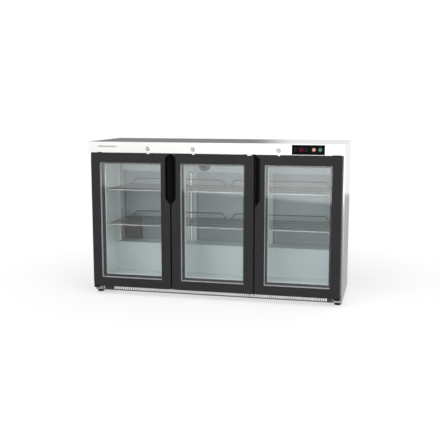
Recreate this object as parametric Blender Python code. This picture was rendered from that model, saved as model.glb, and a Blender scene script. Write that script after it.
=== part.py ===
"""Three-door glass-front under-counter cooler, as an assembly of named parts.

Metres, +Z up, front towards -Y, origin on the floor at the centre of the footprint.
Doors swing on vertical pins near their front outer corners. Door 1 is hung on its left
side, doors 2 and 3 on their right sides.
"""

from math import cos, pi, radians, sin

import bmesh
import bpy
from mathutils import Matrix, Vector

# Overall size
WIDTH = 1.450
DEPTH = 0.510
HEIGHT = 0.890
GAP = 0.0003
HALF_W = WIDTH / 2
FRONT_MOST = -DEPTH / 2
BACK_MOST = DEPTH / 2

# Planes from front to back
FASCIA_FRONT = FRONT_MOST + 0.003
DOOR_FRONT = FASCIA_FRONT + 0.002
DOOR_THICK = 0.049
DOOR_BACK = DOOR_FRONT + DOOR_THICK
CABINET_FRONT = DOOR_BACK + 0.004
CABINET_BACK = BACK_MOST - 0.003

# Sheet and insulated walls
SHEET = 0.002
WALL = 0.045
INNER_X = HALF_W - WALL
INNER_BACK = CABINET_BACK - WALL
BODY_BOTTOM = 0.013
BODY_TOP = HEIGHT - SHEET - GAP
CEILING = 0.790
FLOOR_TOP = 0.083
FLOOR_UNDER = 0.047
STEP_FRONT = FASCIA_FRONT + 0.320
STEP_TOP = 0.257
STEP_WALL = 0.034
FASCIA_BOTTOM = 0.8306

# Doors
DOOR_COUNT = 3
DOOR_SIDE_INSET = 0.0113
DOOR_GAP = 0.009
DOOR_WIDTH = (WIDTH - 2 * DOOR_SIDE_INSET - (DOOR_COUNT - 1) * DOOR_GAP) / DOOR_COUNT
DOOR_BOTTOM = 0.0487
DOOR_TOP = 0.8274
STILE = 0.052
TOP_RAIL = 0.055
BOTTOM_RAIL = 0.0525
FRONT_LIP = 0.0042
REAR_LIP = 0.010
GLASS_THICK = 0.024
GLASS_OVERLAP = 0.012
EDGE_ROUND = 0.0035
HINGE_SIDES = ("left", "right", "right")

# Hinges
PIVOT_INSET = 0.014
PIVOT_Y = DOOR_FRONT + PIVOT_INSET
PIN_RADIUS = 0.004
PIN_LENGTH = 0.014
PIN_HOLE = 0.0046

# Gasket
GASKET_INSET = 0.0155
GASKET_WIDTH = 0.012

# Handle, measured from the door's free edge and in height above the floor
HANDLE_DEPTH = 0.028
HANDLE_WALL = 0.0025
HANDLE_TOP = 0.820
HANDLE_BOTTOM = 0.5445
HANDLE_WIDTH = 0.027

# Locks in the fascia, one over each door
LOCK_FROM_FREE_EDGE = 0.127
LOCK_Z = 0.8535
LOCK_BEZEL = 0.013
BARREL_RADIUS = 0.0095
BARREL_BORE = 0.0066
PLUG_RADIUS = 0.0062
CAM_LENGTH = 0.036
CAM_WIDTH = 0.010
CAM_BACK = FASCIA_FRONT + 0.0245
CAM_THICK = 0.002

# Control panel in the fascia
PLATE_LEFT = 0.4435
PLATE_RIGHT = 0.6185
PLATE_LOW = 0.8355
PLATE_HIGH = 0.8825
CONTROL_Z = 0.8590
CONTROLLER_X = 0.4915
CONTROLLER_BEZEL = (0.079, 0.036)
CONTROLLER_BODY = (0.071, 0.029)
BUTTON_RADIUS = 0.010
LIGHT_BUTTON_X = 0.5603
POWER_BUTTON_X = 0.5942

# Shelves: two wire shelves side by side on each level
SHELF_LEVELS = (("lower", 0.4045), ("upper", 0.6100))
SHELF_FRONT = CABINET_FRONT + 0.026
SHELF_REAR = 0.183
SHELF_OUTER = 0.650
SHELF_INNER = 0.004
WIRE = 0.006
RAIL_RISE = 0.035
RAIL_INSET_INNER = 0.010
RAIL_INSET_OUTER = 0.032
RAIL_SLOPE = 0.026
SHELF_WIRES = 34
THIN_WIRE = 0.0032

# Shelf clips on the uprights and racks
CLIP_HEIGHT = 0.012
CLIP_WIDTH = 0.014
CLIP_REACH = 0.022
RACK_CLIP_END = 0.640
RACK_BOTTOM = 0.100
POST_WIDTH = 0.030
POST_DEPTH = 0.012

# Uprights
UPRIGHT_X = (DOOR_WIDTH + DOOR_GAP) / 2
UPRIGHT_WIDTH = 0.070
MULLION_DEPTH = 0.022
REAR_UPRIGHT_DEPTH = 0.0165
STRIP_DEPTH = 0.004

# Evaporator housing under the ceiling
COVER_BOTTOM = 0.697
COVER_FRONT = 0.095
COVER_HALF = 0.655
EVAP_FAN_X = -0.130
EVAP_FAN_Z = 0.744
EVAP_FAN_RADIUS = 0.034

# Machine compartment behind the step
TRAY_BOTTOM = BODY_BOTTOM + GAP
COMPRESSOR_X = 0.440
CONDENSER_X = -0.150
COND_FAN_X = 0.085
COND_FAN_RADIUS = 0.062
MACHINE_Y = (STEP_FRONT + STEP_WALL + CABINET_BACK) / 2
INLET_X = -0.625
INLET_Z = 0.080

# Feet
FOOT_RADIUS = 0.019
FOOT_X = 0.700
FOOT_FRONT_Y = -0.176
FOOT_REAR_Y = 0.205


def clear_scene():
    for old in list(bpy.data.objects):
        bpy.data.objects.remove(old, do_unlink=True)


def material(name, color, roughness, metallic=0.0, alpha=1.0):
    mat = bpy.data.materials.new(name)
    mat.use_nodes = True
    shader = mat.node_tree.nodes["Principled BSDF"]
    shader.inputs["Base Color"].default_value = (*color, 1.0)
    shader.inputs["Roughness"].default_value = roughness
    shader.inputs["Metallic"].default_value = metallic
    shader.inputs["Alpha"].default_value = alpha
    return mat


def add_object(name, bm, mat=None, smooth=None):
    """Turn a bmesh into a named object, with faces pointing out."""
    bmesh.ops.recalc_face_normals(bm, faces=bm.faces)
    mesh = bpy.data.meshes.new(name)
    bm.to_mesh(mesh)
    bm.free()
    if mat:
        mesh.materials.append(mat)
    if smooth:
        mesh.shade_smooth()
        mesh.set_sharp_from_angle(angle=radians(smooth))
    obj = bpy.data.objects.new(name, mesh)
    bpy.context.scene.collection.objects.link(obj)
    return obj


def fill_cells(bm, xs, ys, zs, solid):
    """Add the outer faces of the solid cells of a grid of boxes."""
    verts = {}

    def vert(i, j, k):
        if (i, j, k) not in verts:
            verts[i, j, k] = bm.verts.new((xs[i], ys[j], zs[k]))
        return verts[i, j, k]

    counts = (len(xs) - 1, len(ys) - 1, len(zs) - 1)

    def is_solid(i, j, k):
        inside = all(0 <= c < n for c, n in zip((i, j, k), counts))
        return inside and solid(i, j, k)

    for i in range(counts[0]):
        for j in range(counts[1]):
            for k in range(counts[2]):
                if not is_solid(i, j, k):
                    continue
                for axis in range(3):
                    add_cell_sides(bm, vert, is_solid, (i, j, k), axis)


def add_cell_sides(bm, vert, is_solid, cell, axis):
    """Add the two sides of one cell across an axis where it has no neighbour."""
    u, v = [a for a in range(3) if a != axis]
    for side in (0, 1):
        beside = list(cell)
        beside[axis] += 1 if side else -1
        if is_solid(*beside):
            continue
        corners = []
        for du, dv in ((0, 0), (1, 0), (1, 1), (0, 1)):
            corner = list(cell)
            corner[axis] += side
            corner[u] += du
            corner[v] += dv
            corners.append(vert(*corner))
        if (side == 1) == (axis == 1):
            corners.reverse()
        bm.faces.new(corners)


def grid_part(name, mat, xs, ys, zs, solid):
    bm = bmesh.new()
    fill_cells(bm, xs, ys, zs, solid)
    return add_object(name, bm, mat)


def box(name, mat, low, high, bevel=0.0):
    bm = bmesh.new()
    fill_cells(bm, *zip(low, high), lambda i, j, k: True)
    if bevel:
        bmesh.ops.bevel(
            bm, geom=list(bm.edges), offset=bevel, segments=2, profile=0.5, affect="EDGES"
        )
    return add_object(name, bm, mat)


def prism(name, mat, outline, low, high, axis="Z"):
    """Extrude a flat outline between two heights along Y or Z."""
    bm = bmesh.new()
    rings = []
    for level in (low, high):
        if axis == "Z":
            rings.append([bm.verts.new((a, b, level)) for a, b in outline])
        else:
            rings.append([bm.verts.new((a, level, b)) for a, b in outline])
    count = len(outline)
    for i in range(count):
        after = (i + 1) % count
        bm.faces.new((rings[0][i], rings[0][after], rings[1][after], rings[1][i]))
    bm.faces.new(rings[0])
    bm.faces.new(rings[1])
    return add_object(name, bm, mat)


def turned(name, mat, profile, center, axis="Z", segments=24, smooth=35):
    """Turn a profile of (radius, height) points about an axis through center.

    A profile that starts and ends at radius 0 makes a solid. Any other profile is
    closed on itself and makes a ring.
    """
    bm = bmesh.new()
    rings = []
    for radius, height in profile:
        count = segments if radius > 0 else 1
        ring = []
        for i in range(count):
            angle = 2 * pi * i / segments
            ring.append(bm.verts.new((radius * cos(angle), radius * sin(angle), height)))
        rings.append(ring)
    pairs = list(zip(rings, rings[1:]))
    if profile[0][0] > 0:
        pairs.append((rings[-1], rings[0]))
    for a, b in pairs:
        for i in range(segments):
            after = (i + 1) % segments
            corners = [a[i % len(a)], a[after % len(a)], b[after % len(b)], b[i % len(b)]]
            bm.faces.new(list(dict.fromkeys(corners)))
    turn = Matrix.Rotation(radians(-90), 4, "X") if axis == "Y" else Matrix()
    bmesh.ops.transform(bm, matrix=turn, verts=bm.verts)
    bmesh.ops.translate(bm, vec=center, verts=bm.verts)
    return add_object(name, bm, mat, smooth=smooth)


def rod(radius, length):
    """The profile of a plain round rod from height 0 to length."""
    return [(0, 0), (radius, 0), (radius, length), (0, length)]


def combine(target, tool, operation):
    """Cut a tool out of a part, or join the tool to it."""
    tool.hide_render = True
    tool.display_type = "WIRE"
    modifier = target.modifiers.new(f"{operation.lower()}_{tool.name}", "BOOLEAN")
    modifier.operation = operation
    modifier.object = tool
    modifier.solver = "EXACT"


def cut(target, *tools):
    for tool in tools:
        combine(target, tool, "DIFFERENCE")


def join(target, *tools):
    for tool in tools:
        combine(target, tool, "UNION")


def pivot(name, point):
    empty = bpy.data.objects.new(name, None)
    empty.location = point
    empty.empty_display_size = 0.05
    bpy.context.scene.collection.objects.link(empty)
    return empty


def hang(obj, empty):
    """Make a part, modelled in place, turn or slide with an empty."""
    obj.data.transform(Matrix.Translation(-empty.location))
    obj.parent = empty


def frame_ring(lengths, index):
    """True for the outer cells of a square-ended ring given by grid counts."""
    return any(i in (0, n - 1) for i, n in zip(index, lengths))


STAINLESS = material("stainless", (0.62, 0.62, 0.60), 0.32, 1.0)
BRIGHT_PANEL = material("bright_panel", (0.82, 0.82, 0.80), 0.35, 0.3)
LINER = material("liner", (0.66, 0.70, 0.70), 0.40, 0.2)
DOOR_GREY = material("door_grey", (0.045, 0.045, 0.048), 0.45, 0.4)
BLACK_PLASTIC = material("black_plastic", (0.012, 0.012, 0.013), 0.40)
RUBBER = material("rubber", (0.02, 0.02, 0.02), 0.80)
GLASS = material("glass", (0.80, 0.88, 0.87), 0.03, 0.0, 0.2)
WIRE_STEEL = material("wire_steel", (0.70, 0.70, 0.70), 0.25, 1.0)
ZINC = material("zinc", (0.72, 0.72, 0.70), 0.30, 1.0)
ALUMINIUM = material("aluminium", (0.75, 0.75, 0.76), 0.35, 1.0)
FAN_BLACK = material("fan_black", (0.02, 0.02, 0.02), 0.50)
LIGHT_COVER = material("light_cover", (0.90, 0.92, 0.92), 0.30)
GREEN_LAMP = material("green_lamp", (0.05, 0.45, 0.22), 0.25)
ORANGE_LAMP = material("orange_lamp", (0.90, 0.35, 0.22), 0.25)
LOUVRE_BROWN = material("louvre_brown", (0.16, 0.14, 0.13), 0.55)


# Cabinet -----------------------------------------------------------------------------


def lock_x(index):
    left = door_left(index)
    if HINGE_SIDES[index] == "left":
        return left + DOOR_WIDTH - LOCK_FROM_FREE_EDGE
    return left + LOCK_FROM_FREE_EDGE


def door_left(index):
    return -HALF_W + DOOR_SIDE_INSET + index * (DOOR_WIDTH + DOOR_GAP)


def make_worktop():
    """Folded top sheet with its deep front fold, end cheeks and short rear fold."""
    cheek_back = CABINET_FRONT - GAP
    window_low = PLATE_LOW + 0.005
    window_high = PLATE_HIGH - 0.005
    xs = (
        -HALF_W,
        -HALF_W + SHEET,
        PLATE_LEFT + 0.005,
        PLATE_RIGHT - 0.005,
        HALF_W - SHEET,
        HALF_W,
    )
    ys = (FASCIA_FRONT, FASCIA_FRONT + SHEET, cheek_back, CABINET_BACK + GAP, BACK_MOST)
    zs = (FASCIA_BOTTOM, window_low, HEIGHT - 0.030, window_high, HEIGHT - SHEET, HEIGHT)

    def solid(i, j, k):
        if k == 4:
            return True
        if j == 0:
            return not (i == 2 and k in (1, 2))
        if j == 1:
            return i in (0, 4)
        return j == 3 and k >= 2

    worktop = grid_part("worktop", STAINLESS, xs, ys, zs, solid)
    for index in range(DOOR_COUNT):
        center = (lock_x(index), FASCIA_FRONT - 0.002, LOCK_Z)
        hole = turned(f"lock_hole_{index + 1}", None, rod(0.0100, 0.006), center, "Y")
        cut(worktop, hole)


def make_side_panels():
    low_z = BODY_BOTTOM
    for side, name in ((-1, "left_side_panel"), (1, "right_side_panel")):
        inner, outer = sorted((side * INNER_X, side * HALF_W))
        low = (inner, CABINET_FRONT, low_z)
        high = (outer, CABINET_BACK, BODY_TOP)
        panel = box(name, BRIGHT_PANEL, low, high, bevel=0.0012)
        for place, y in (("front", FOOT_FRONT_Y), ("rear", FOOT_REAR_Y)):
            start = (side * FOOT_X, y, low_z - 0.002)
            hole = turned(f"{name}_{place}_foot_hole", None, rod(0.0056, 0.030), start)
            cut(panel, hole)


def make_inner_walls():
    x = INNER_X - GAP
    low = (-x, INNER_BACK, STEP_TOP - STEP_WALL)
    box("rear_wall_panel", LINER, low, (x, CABINET_BACK, BODY_TOP))
    low = (-x, CABINET_FRONT, CEILING)
    box("ceiling_panel", LINER, low, (x, INNER_BACK - GAP, BODY_TOP))
    ys = (CABINET_FRONT, STEP_FRONT, STEP_FRONT + STEP_WALL, INNER_BACK - GAP)
    zs = (FLOOR_UNDER, FLOOR_TOP, STEP_TOP - STEP_WALL, STEP_TOP)

    def solid(i, j, k):
        return (j == 0 and k == 0) or j == 1 or (j == 2 and k == 2)

    grid_part("floor_panel", LINER, (-x, x), ys, zs, solid)


def make_front_grille():
    """Plinth strip with one row of upright slots."""
    first, pitch, count, width = -0.6735, 0.0120, 112, 0.0062
    xs = [-INNER_X + GAP]
    for i in range(count):
        xs += [first + i * pitch, first + i * pitch + width]
    xs.append(INNER_X - GAP)
    ys = (CABINET_FRONT, CABINET_FRONT + SHEET)
    zs = (BODY_BOTTOM, 0.0185, 0.0395, FLOOR_UNDER - GAP)
    grid_part("front_grille", STAINLESS, xs, ys, zs, lambda i, j, k: k != 1 or i % 2 == 0)


def clip_levels():
    """Heights of the shelf clips, as the underside and top of each, from low to high."""
    levels = []
    for _, top in SHELF_LEVELS:
        clip_top = top - WIRE - GAP
        levels += [clip_top - CLIP_HEIGHT, clip_top]
    return levels


def make_uprights():
    """Front mullions between the doors and rear uprights, each with two shelf clips."""
    half, strip = UPRIGHT_WIDTH / 2, CLIP_WIDTH / 2
    rear = INNER_BACK - GAP
    rear_front = rear - REAR_UPRIGHT_DEPTH
    mullion_back = CABINET_FRONT + MULLION_DEPTH
    for side, name in ((-1, "left"), (1, "right")):
        x = side * UPRIGHT_X
        xs = (x - half, x - strip, x + strip, x + half)
        grid_part(
            f"mullion_{name}",
            LINER,
            xs,
            (CABINET_FRONT, mullion_back, mullion_back + CLIP_REACH),
            (FLOOR_TOP + GAP, *clip_levels(), CEILING - GAP),
            lambda i, j, k: j == 0 or (i == 1 and k in (1, 3)),
        )
        grid_part(
            f"rear_upright_{name}",
            LINER,
            xs,
            (rear_front - CLIP_REACH, rear_front, rear_front + STRIP_DEPTH, rear),
            (STEP_TOP + GAP, *clip_levels(), COVER_BOTTOM - GAP),
            is_rear_upright,
        )


def is_rear_upright(i, j, k):
    """A channel down the middle of the face, bridged where a clip stands out of it."""
    clip = i == 1 and k in (1, 3)
    if j == 0:
        return clip
    return j == 2 or i != 1 or clip


def make_shelf_racks():
    """Two posts on each side wall joined by runners, with a clip at each shelf level."""
    front_y, rear_y = CABINET_FRONT + 0.040, FASCIA_FRONT + 0.340
    zs = (RACK_BOTTOM, STEP_TOP + 0.004, *clip_levels(), CEILING - 0.004)
    ys = (front_y, front_y + POST_WIDTH, rear_y, rear_y + POST_WIDTH)
    wall = INNER_X - GAP
    for side, name in ((-1, "left"), (1, "right")):
        planes = (side * wall, side * (wall - POST_DEPTH), side * RACK_CLIP_END)
        outer = 0 if side < 0 else 1
        grid_part(
            f"shelf_rack_{name}",
            ZINC,
            sorted(planes),
            ys,
            zs,
            lambda i, j, k: is_rack(i == outer, j, k),
        )


def is_rack(on_wall, j, k):
    if not on_wall:
        return j != 1 and k in (2, 4)
    if j == 1:
        return k in (2, 4)
    return j == 0 or k > 0


def make_shelf(name, side, top):
    """Wire shelf: rim, a middle rod and wires front to back, with a raised rail at the back."""
    inner, outer = side * SHELF_INNER, side * SHELF_OUTER
    left, right = sorted((inner, outer))
    xs = [left, left + WIRE]
    pitch = (right - left - WIRE) / (SHELF_WIRES + 1)
    for i in range(1, SHELF_WIRES + 1):
        center = left + WIRE / 2 + i * pitch
        xs += [center - THIN_WIRE / 2, center + THIN_WIRE / 2]
    xs += [right - WIRE, right]
    mid = (SHELF_FRONT + SHELF_REAR) / 2
    ys = (SHELF_FRONT, SHELF_FRONT + WIRE, mid - WIRE / 2, mid + WIRE / 2, SHELF_REAR - WIRE, SHELF_REAR)
    zs = (top - WIRE, top)
    shelf = grid_part(name, WIRE_STEEL, xs, ys, zs, lambda i, j, k: i % 2 == 0 or j % 2 == 0)
    insets = (RAIL_INSET_OUTER, RAIL_INSET_INNER)
    start, end = insets if side < 0 else reversed(insets)
    a, b = left + start, right - end
    peak = top + RAIL_RISE
    low = top - WIRE / 2
    outer_line = [(a - WIRE, low), (a + RAIL_SLOPE - WIRE, peak)]
    outer_line += [(b - RAIL_SLOPE + WIRE, peak), (b + WIRE, low)]
    inner_line = [(b, low), (b - RAIL_SLOPE, peak - WIRE)]
    inner_line += [(a + RAIL_SLOPE, peak - WIRE), (a, low)]
    outline = outer_line + inner_line
    rail = prism(f"{name}_rail", None, outline, SHELF_REAR - 0.0055, SHELF_REAR - 0.0005, "Y")
    join(shelf, rail)


def make_shelves():
    for level, top in SHELF_LEVELS:
        make_shelf(f"shelf_{level}_left", -1, top)
        make_shelf(f"shelf_{level}_right", 1, top)


def make_feet():
    rise = BODY_BOTTOM - GAP
    profile = [(0, 0), (0.0175, 0), (FOOT_RADIUS, 0.0015), (FOOT_RADIUS, 0.0070)]
    profile += [(0.0165, 0.0090), (0.0100, 0.0090), (0.0100, rise), (0.0050, rise)]
    profile += [(0.0050, rise + 0.020), (0, rise + 0.020)]
    for place, y in (("front", FOOT_FRONT_Y), ("rear", FOOT_REAR_Y)):
        for side, name in ((-1, "left"), (1, "right")):
            turned(f"foot_{place}_{name}", BLACK_PLASTIC, profile, (side * FOOT_X, y, 0))


def make_light():
    low = (-0.600, CABINET_FRONT + 0.026, CEILING - 0.016)
    box("interior_light", LIGHT_COVER, low, (0.600, CABINET_FRONT + 0.048, CEILING - GAP))


# Cooling -----------------------------------------------------------------------------


def fin_block(name, mat, low, high, fins, base):
    """A block with upright slits open to the front and back, over a solid base strip."""
    width = (high[0] - low[0]) / (2 * fins - 1)
    xs = [low[0] + i * width for i in range(2 * fins)]
    zs = (low[2], low[2] + base, high[2] - base, high[2])
    ys = (low[1], high[1])
    grid_part(name, mat, xs, ys, zs, lambda i, j, k: k != 1 or i % 2 == 0)


def make_fan(name, center, radius, hub, blade_depth, blades=5):
    """A hub with twisted blades, on an axis along Y."""
    half = blade_depth / 2
    fan = turned(name, FAN_BLACK, rod(hub, blade_depth), (0, -half, 0), "Y", 16)
    for i in range(blades):
        bm = bmesh.new()
        spread = 0.42 * radius
        sides = ((-spread, spread), (-0.001, 0.001), (hub * 0.7, radius))
        fill_cells(bm, *sides, lambda a, b, c: True)
        pitch = Matrix.Rotation(radians(28), 4, "Z")
        around = Matrix.Rotation(2 * pi * i / blades, 4, "Y")
        bmesh.ops.transform(bm, matrix=around @ pitch, verts=bm.verts)
        join(fan, add_object(f"{name}_blade_{i + 1}", bm))
    empty = pivot(f"{name}_axis", center)
    fan.parent = empty
    for tool in [m.object for m in fan.modifiers]:
        tool.parent = empty


def make_evaporator():
    x, back, top = COVER_HALF, INNER_BACK - GAP, CEILING - GAP
    xs = (-x, -x + SHEET, x - SHEET, x)
    ys = (COVER_FRONT, COVER_FRONT + SHEET, back)
    zs = (COVER_BOTTOM, COVER_BOTTOM + SHEET, top)
    cover = grid_part(
        "evaporator_cover", LINER, xs, ys, zs, lambda i, j, k: i != 1 or j == 0 or k == 0
    )
    start = (EVAP_FAN_X, COVER_FRONT - 0.004, EVAP_FAN_Z)
    cut(cover, turned("fan_opening", None, rod(EVAP_FAN_RADIUS + 0.003, 0.010), start, "Y"))
    for i in range(4):
        left = 0.080 + i * 0.140
        low = (left, COVER_FRONT + 0.030, COVER_BOTTOM - 0.002)
        high = (left + 0.110, back - 0.030, COVER_BOTTOM + 0.004)
        cut(cover, box(f"air_slot_{i + 1}", None, low, high))
    low = (-0.060, COVER_FRONT + 0.012, COVER_BOTTOM + 0.012)
    fin_block("evaporator", ALUMINIUM, low, (0.560, back - 0.010, top - 0.010), 32, 0.006)
    center = (EVAP_FAN_X, COVER_FRONT + 0.016, EVAP_FAN_Z)
    make_fan("evaporator_fan", center, EVAP_FAN_RADIUS, 0.012, 0.014)


def make_return_grille():
    """Louvred air return standing on the step in the rear left corner."""
    low, high = (-0.664, 0.165), (-0.570, INNER_BACK - GAP)
    louvres, pitch = 8, 0.0145
    zs = [STEP_TOP + GAP]
    for i in range(louvres):
        start = STEP_TOP + 0.012 + i * pitch
        zs += [start, start + 0.007]
    zs.append(zs[-1] + 0.010)
    xs = (low[0], low[0] + 0.006, high[0] - 0.006, high[0])
    ys = (low[1], low[1] + 0.008, high[1])
    grid_part(
        "return_air_grille",
        LOUVRE_BROWN,
        xs,
        ys,
        zs,
        lambda i, j, k: not (i == 1 and j == 0 and k % 2 == 1),
    )


def make_machine():
    """Compressor, condenser, fan and their tray in the compartment behind the step."""
    x = INNER_X - GAP
    floor = TRAY_BOTTOM + SHEET
    compartment_front = STEP_FRONT + STEP_WALL
    rear_skin = CABINET_BACK - SHEET
    tray_low = (-x, compartment_front - 0.030, TRAY_BOTTOM)
    box("compressor_tray", ZINC, tray_low, (x, rear_skin - GAP, floor))
    base = floor + GAP
    make_compressor(base)
    low = (CONDENSER_X - 0.120, MACHINE_Y - 0.030, base)
    high = (CONDENSER_X + 0.120, MACHINE_Y + 0.030, 0.190)
    fin_block("condenser", ALUMINIUM, low, high, 24, 0.008)
    center = (COND_FAN_X, MACHINE_Y, base + COND_FAN_RADIUS + 0.030)
    make_fan("condenser_fan", center, COND_FAN_RADIUS, 0.020, 0.024)
    make_service_grille(x, base, rear_skin)


def make_compressor(base):
    """Sealed pot on its mounting plate."""
    radius, height = 0.060, 0.170
    profile = [(0, 0.010), (radius * 0.8, 0.010), (radius, 0.030), (radius, height - 0.055)]
    profile += [(radius * 0.93, height - 0.030), (radius * 0.70, height - 0.010)]
    profile += [(radius * 0.35, height), (0, height)]
    center = (COMPRESSOR_X, MACHINE_Y, base)
    compressor = turned("compressor", BLACK_PLASTIC, profile, center, smooth=50)
    low = (COMPRESSOR_X - 0.085, MACHINE_Y - 0.045, base)
    high = (COMPRESSOR_X + 0.085, MACHINE_Y + 0.045, base + 0.014)
    join(compressor, box("compressor_mount", None, low, high))


def make_service_grille(x, base, rear_skin):
    """Rear cover of the compartment with rows of long air slots and the mains inlet."""
    columns, pitch, width = 10, 0.112, 0.096
    rows, row_pitch, slot_height = 7, 0.021, 0.009
    start = -0.540
    xs = [-x]
    for i in range(columns):
        xs += [start + i * pitch, start + i * pitch + width]
    xs.append(x)
    zs = [base - SHEET]
    for i in range(rows):
        zs += [0.052 + i * row_pitch, 0.052 + i * row_pitch + slot_height]
    zs.append(STEP_TOP - STEP_WALL - GAP)
    grille = grid_part(
        "rear_service_grille",
        ZINC,
        xs,
        (rear_skin, CABINET_BACK),
        zs,
        lambda i, j, k: i % 2 == 0 or k % 2 == 0,
    )
    low = (INLET_X - 0.0245, rear_skin - 0.002, INLET_Z - 0.0125)
    high = (INLET_X + 0.0245, CABINET_BACK + 0.002, INLET_Z + 0.0125)
    cut(grille, box("inlet_opening", None, low, high))
    make_inlet(rear_skin)


def make_inlet(rear_skin):
    """Mains socket with its flange behind the cover and a recess for the plug."""
    xs = [INLET_X + a for a in (-0.027, -0.024, -0.012, 0.012, 0.024, 0.027)]
    ys = (rear_skin - 0.016, CABINET_BACK - 0.010, CABINET_BACK + GAP, BACK_MOST - 0.0005)
    zs = [INLET_Z + a for a in (-0.015, -0.012, -0.007, 0.007, 0.012, 0.015)]

    def solid(i, j, k):
        flange = j == 2
        core = i in (1, 2, 3) and k in (1, 2, 3)
        cavity = i == 2 and k == 2 and j > 0
        return (flange or core) and not cavity

    grid_part("power_inlet", BLACK_PLASTIC, xs, ys, zs, solid)


# Controls and locks ------------------------------------------------------------------


def make_controls():
    plate_front = FASCIA_FRONT - 0.0020
    body_w, body_h = (a / 2 + GAP for a in CONTROLLER_BODY)
    xs = (PLATE_LEFT, CONTROLLER_X - body_w, CONTROLLER_X + body_w, PLATE_RIGHT)
    zs = (PLATE_LOW, CONTROL_Z - body_h, CONTROL_Z + body_h, PLATE_HIGH)
    ys = (plate_front, FASCIA_FRONT - GAP)
    plate = grid_part(
        "control_plate", BLACK_PLASTIC, xs, ys, zs, lambda i, j, k: not (i == 1 and k == 1)
    )
    buttons = (
        ("light_button", LIGHT_BUTTON_X, ORANGE_LAMP),
        ("power_button", POWER_BUTTON_X, GREEN_LAMP),
    )
    for name, x, mat in buttons:
        start = (x, plate_front - 0.002, CONTROL_Z)
        cut(plate, turned(f"{name}_hole", None, rod(BUTTON_RADIUS + 0.0004, 0.006), start, "Y"))
        profile = [(0, 0), (BUTTON_RADIUS - 0.0008, 0), (BUTTON_RADIUS, 0.0008)]
        profile += [(BUTTON_RADIUS, 0.011), (0, 0.011)]
        button = turned(name, mat, profile, (x, FRONT_MOST, CONTROL_Z), "Y")
        hang(button, pivot(f"{name}_travel", (x, FRONT_MOST, CONTROL_Z)))
    make_controller(plate_front)


def make_controller(plate_front):
    bezel_w, bezel_h = (a / 2 for a in CONTROLLER_BEZEL)
    body_w, body_h = (a / 2 for a in CONTROLLER_BODY)
    xs = [CONTROLLER_X + a for a in (-bezel_w, -body_w, body_w, bezel_w)]
    zs = [CONTROL_Z + a for a in (-bezel_h, -body_h, body_h, bezel_h)]
    ys = (FRONT_MOST, plate_front - GAP, CABINET_FRONT - 0.008)
    grid_part(
        "controller", BLACK_PLASTIC, xs, ys, zs, lambda i, j, k: j == 0 or (i == 1 and k == 1)
    )


def make_lock(index):
    """Barrel in the fascia, and the plug with its cam, which swings down into the door."""
    number = index + 1
    x = lock_x(index)
    side = -1 if HINGE_SIDES[index] == "left" else 1
    profile = [(BARREL_BORE, 0), (LOCK_BEZEL - 0.001, 0), (LOCK_BEZEL, 0.001)]
    profile += [(LOCK_BEZEL, 0.0027), (BARREL_RADIUS, 0.0027), (BARREL_RADIUS, 0.023)]
    profile += [(BARREL_BORE, 0.023)]
    turned(f"lock_barrel_{number}", ZINC, profile, (x, FRONT_MOST, LOCK_Z), "Y")
    front = FRONT_MOST + 0.0004
    profile = rod(PLUG_RADIUS, CAM_BACK - front)
    plug = turned(f"lock_plug_{number}", ZINC, profile, (x, front, LOCK_Z), "Y")
    bm = bmesh.new()
    sides = ((-0.0006, 0.0006), (-0.001, 0.002), (-0.0040, 0.0040))
    fill_cells(bm, *sides, lambda i, j, k: True)
    bmesh.ops.transform(bm, matrix=Matrix.Rotation(radians(25), 4, "Y"), verts=bm.verts)
    bmesh.ops.translate(bm, vec=(x, front, LOCK_Z), verts=bm.verts)
    cut(plug, add_object(f"key_slot_{number}", bm))
    near, far = sorted((-side * 0.004, side * CAM_LENGTH))
    low = (x + near, CAM_BACK - CAM_THICK, LOCK_Z - CAM_WIDTH / 2)
    high = (x + far, CAM_BACK - 0.0002, LOCK_Z + CAM_WIDTH / 2)
    join(plug, box(f"cam_{number}", None, low, high))
    hang(plug, pivot(f"lock_axis_{number}", (x, FRONT_MOST, LOCK_Z)))


# Doors -------------------------------------------------------------------------------


def door_cells(name, mat, x0):
    """Frame with a front lip, a pocket for the glass unit and a rear lip."""
    xs = frame_lines(x0, x0 + DOOR_WIDTH, STILE, STILE)
    zs = frame_lines(DOOR_BOTTOM, DOOR_TOP, BOTTOM_RAIL, TOP_RAIL)
    pocket_back = DOOR_FRONT + FRONT_LIP + GLASS_THICK + 2 * GAP
    ys = (DOOR_FRONT, DOOR_FRONT + FRONT_LIP, pocket_back, DOOR_BACK)

    def solid(i, j, k):
        if j == 1:
            return frame_ring((7, 7), (i, k))
        if j == 0:
            return not (2 <= i <= 4 and 2 <= k <= 4)
        return not (i == 3 and k == 3)

    bm = bmesh.new()
    fill_cells(bm, xs, ys, zs, solid)
    rounded = [e for e in bm.edges if is_outer_edge(e, xs[0], xs[-1], zs[0], zs[-1])]
    bmesh.ops.bevel(bm, geom=rounded, offset=EDGE_ROUND, segments=3, profile=0.5, affect="EDGES")
    return add_object(name, bm, mat, smooth=30)


def frame_lines(low, high, low_rail, high_rail):
    """Cuts across a door: pocket edge, front opening and rear opening at each side."""
    start, end = low + low_rail, high - high_rail
    return (
        low,
        start - GLASS_OVERLAP,
        start,
        start + REAR_LIP,
        end - REAR_LIP,
        end,
        end + GLASS_OVERLAP,
        high,
    )


def is_outer_edge(edge, x0, x1, z0, z1):
    """An edge of the front rim, or one of the four corner edges along the depth."""
    tiny = 1e-6
    ends = [v.co for v in edge.verts]
    on_x = any(all(abs(c.x - x) < tiny for c in ends) for x in (x0, x1))
    on_z = any(all(abs(c.z - z) < tiny for c in ends) for z in (z0, z1))
    in_front = all(abs(c.y - DOOR_FRONT) < tiny for c in ends)
    return (in_front and (on_x or on_z)) or (on_x and on_z)


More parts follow.
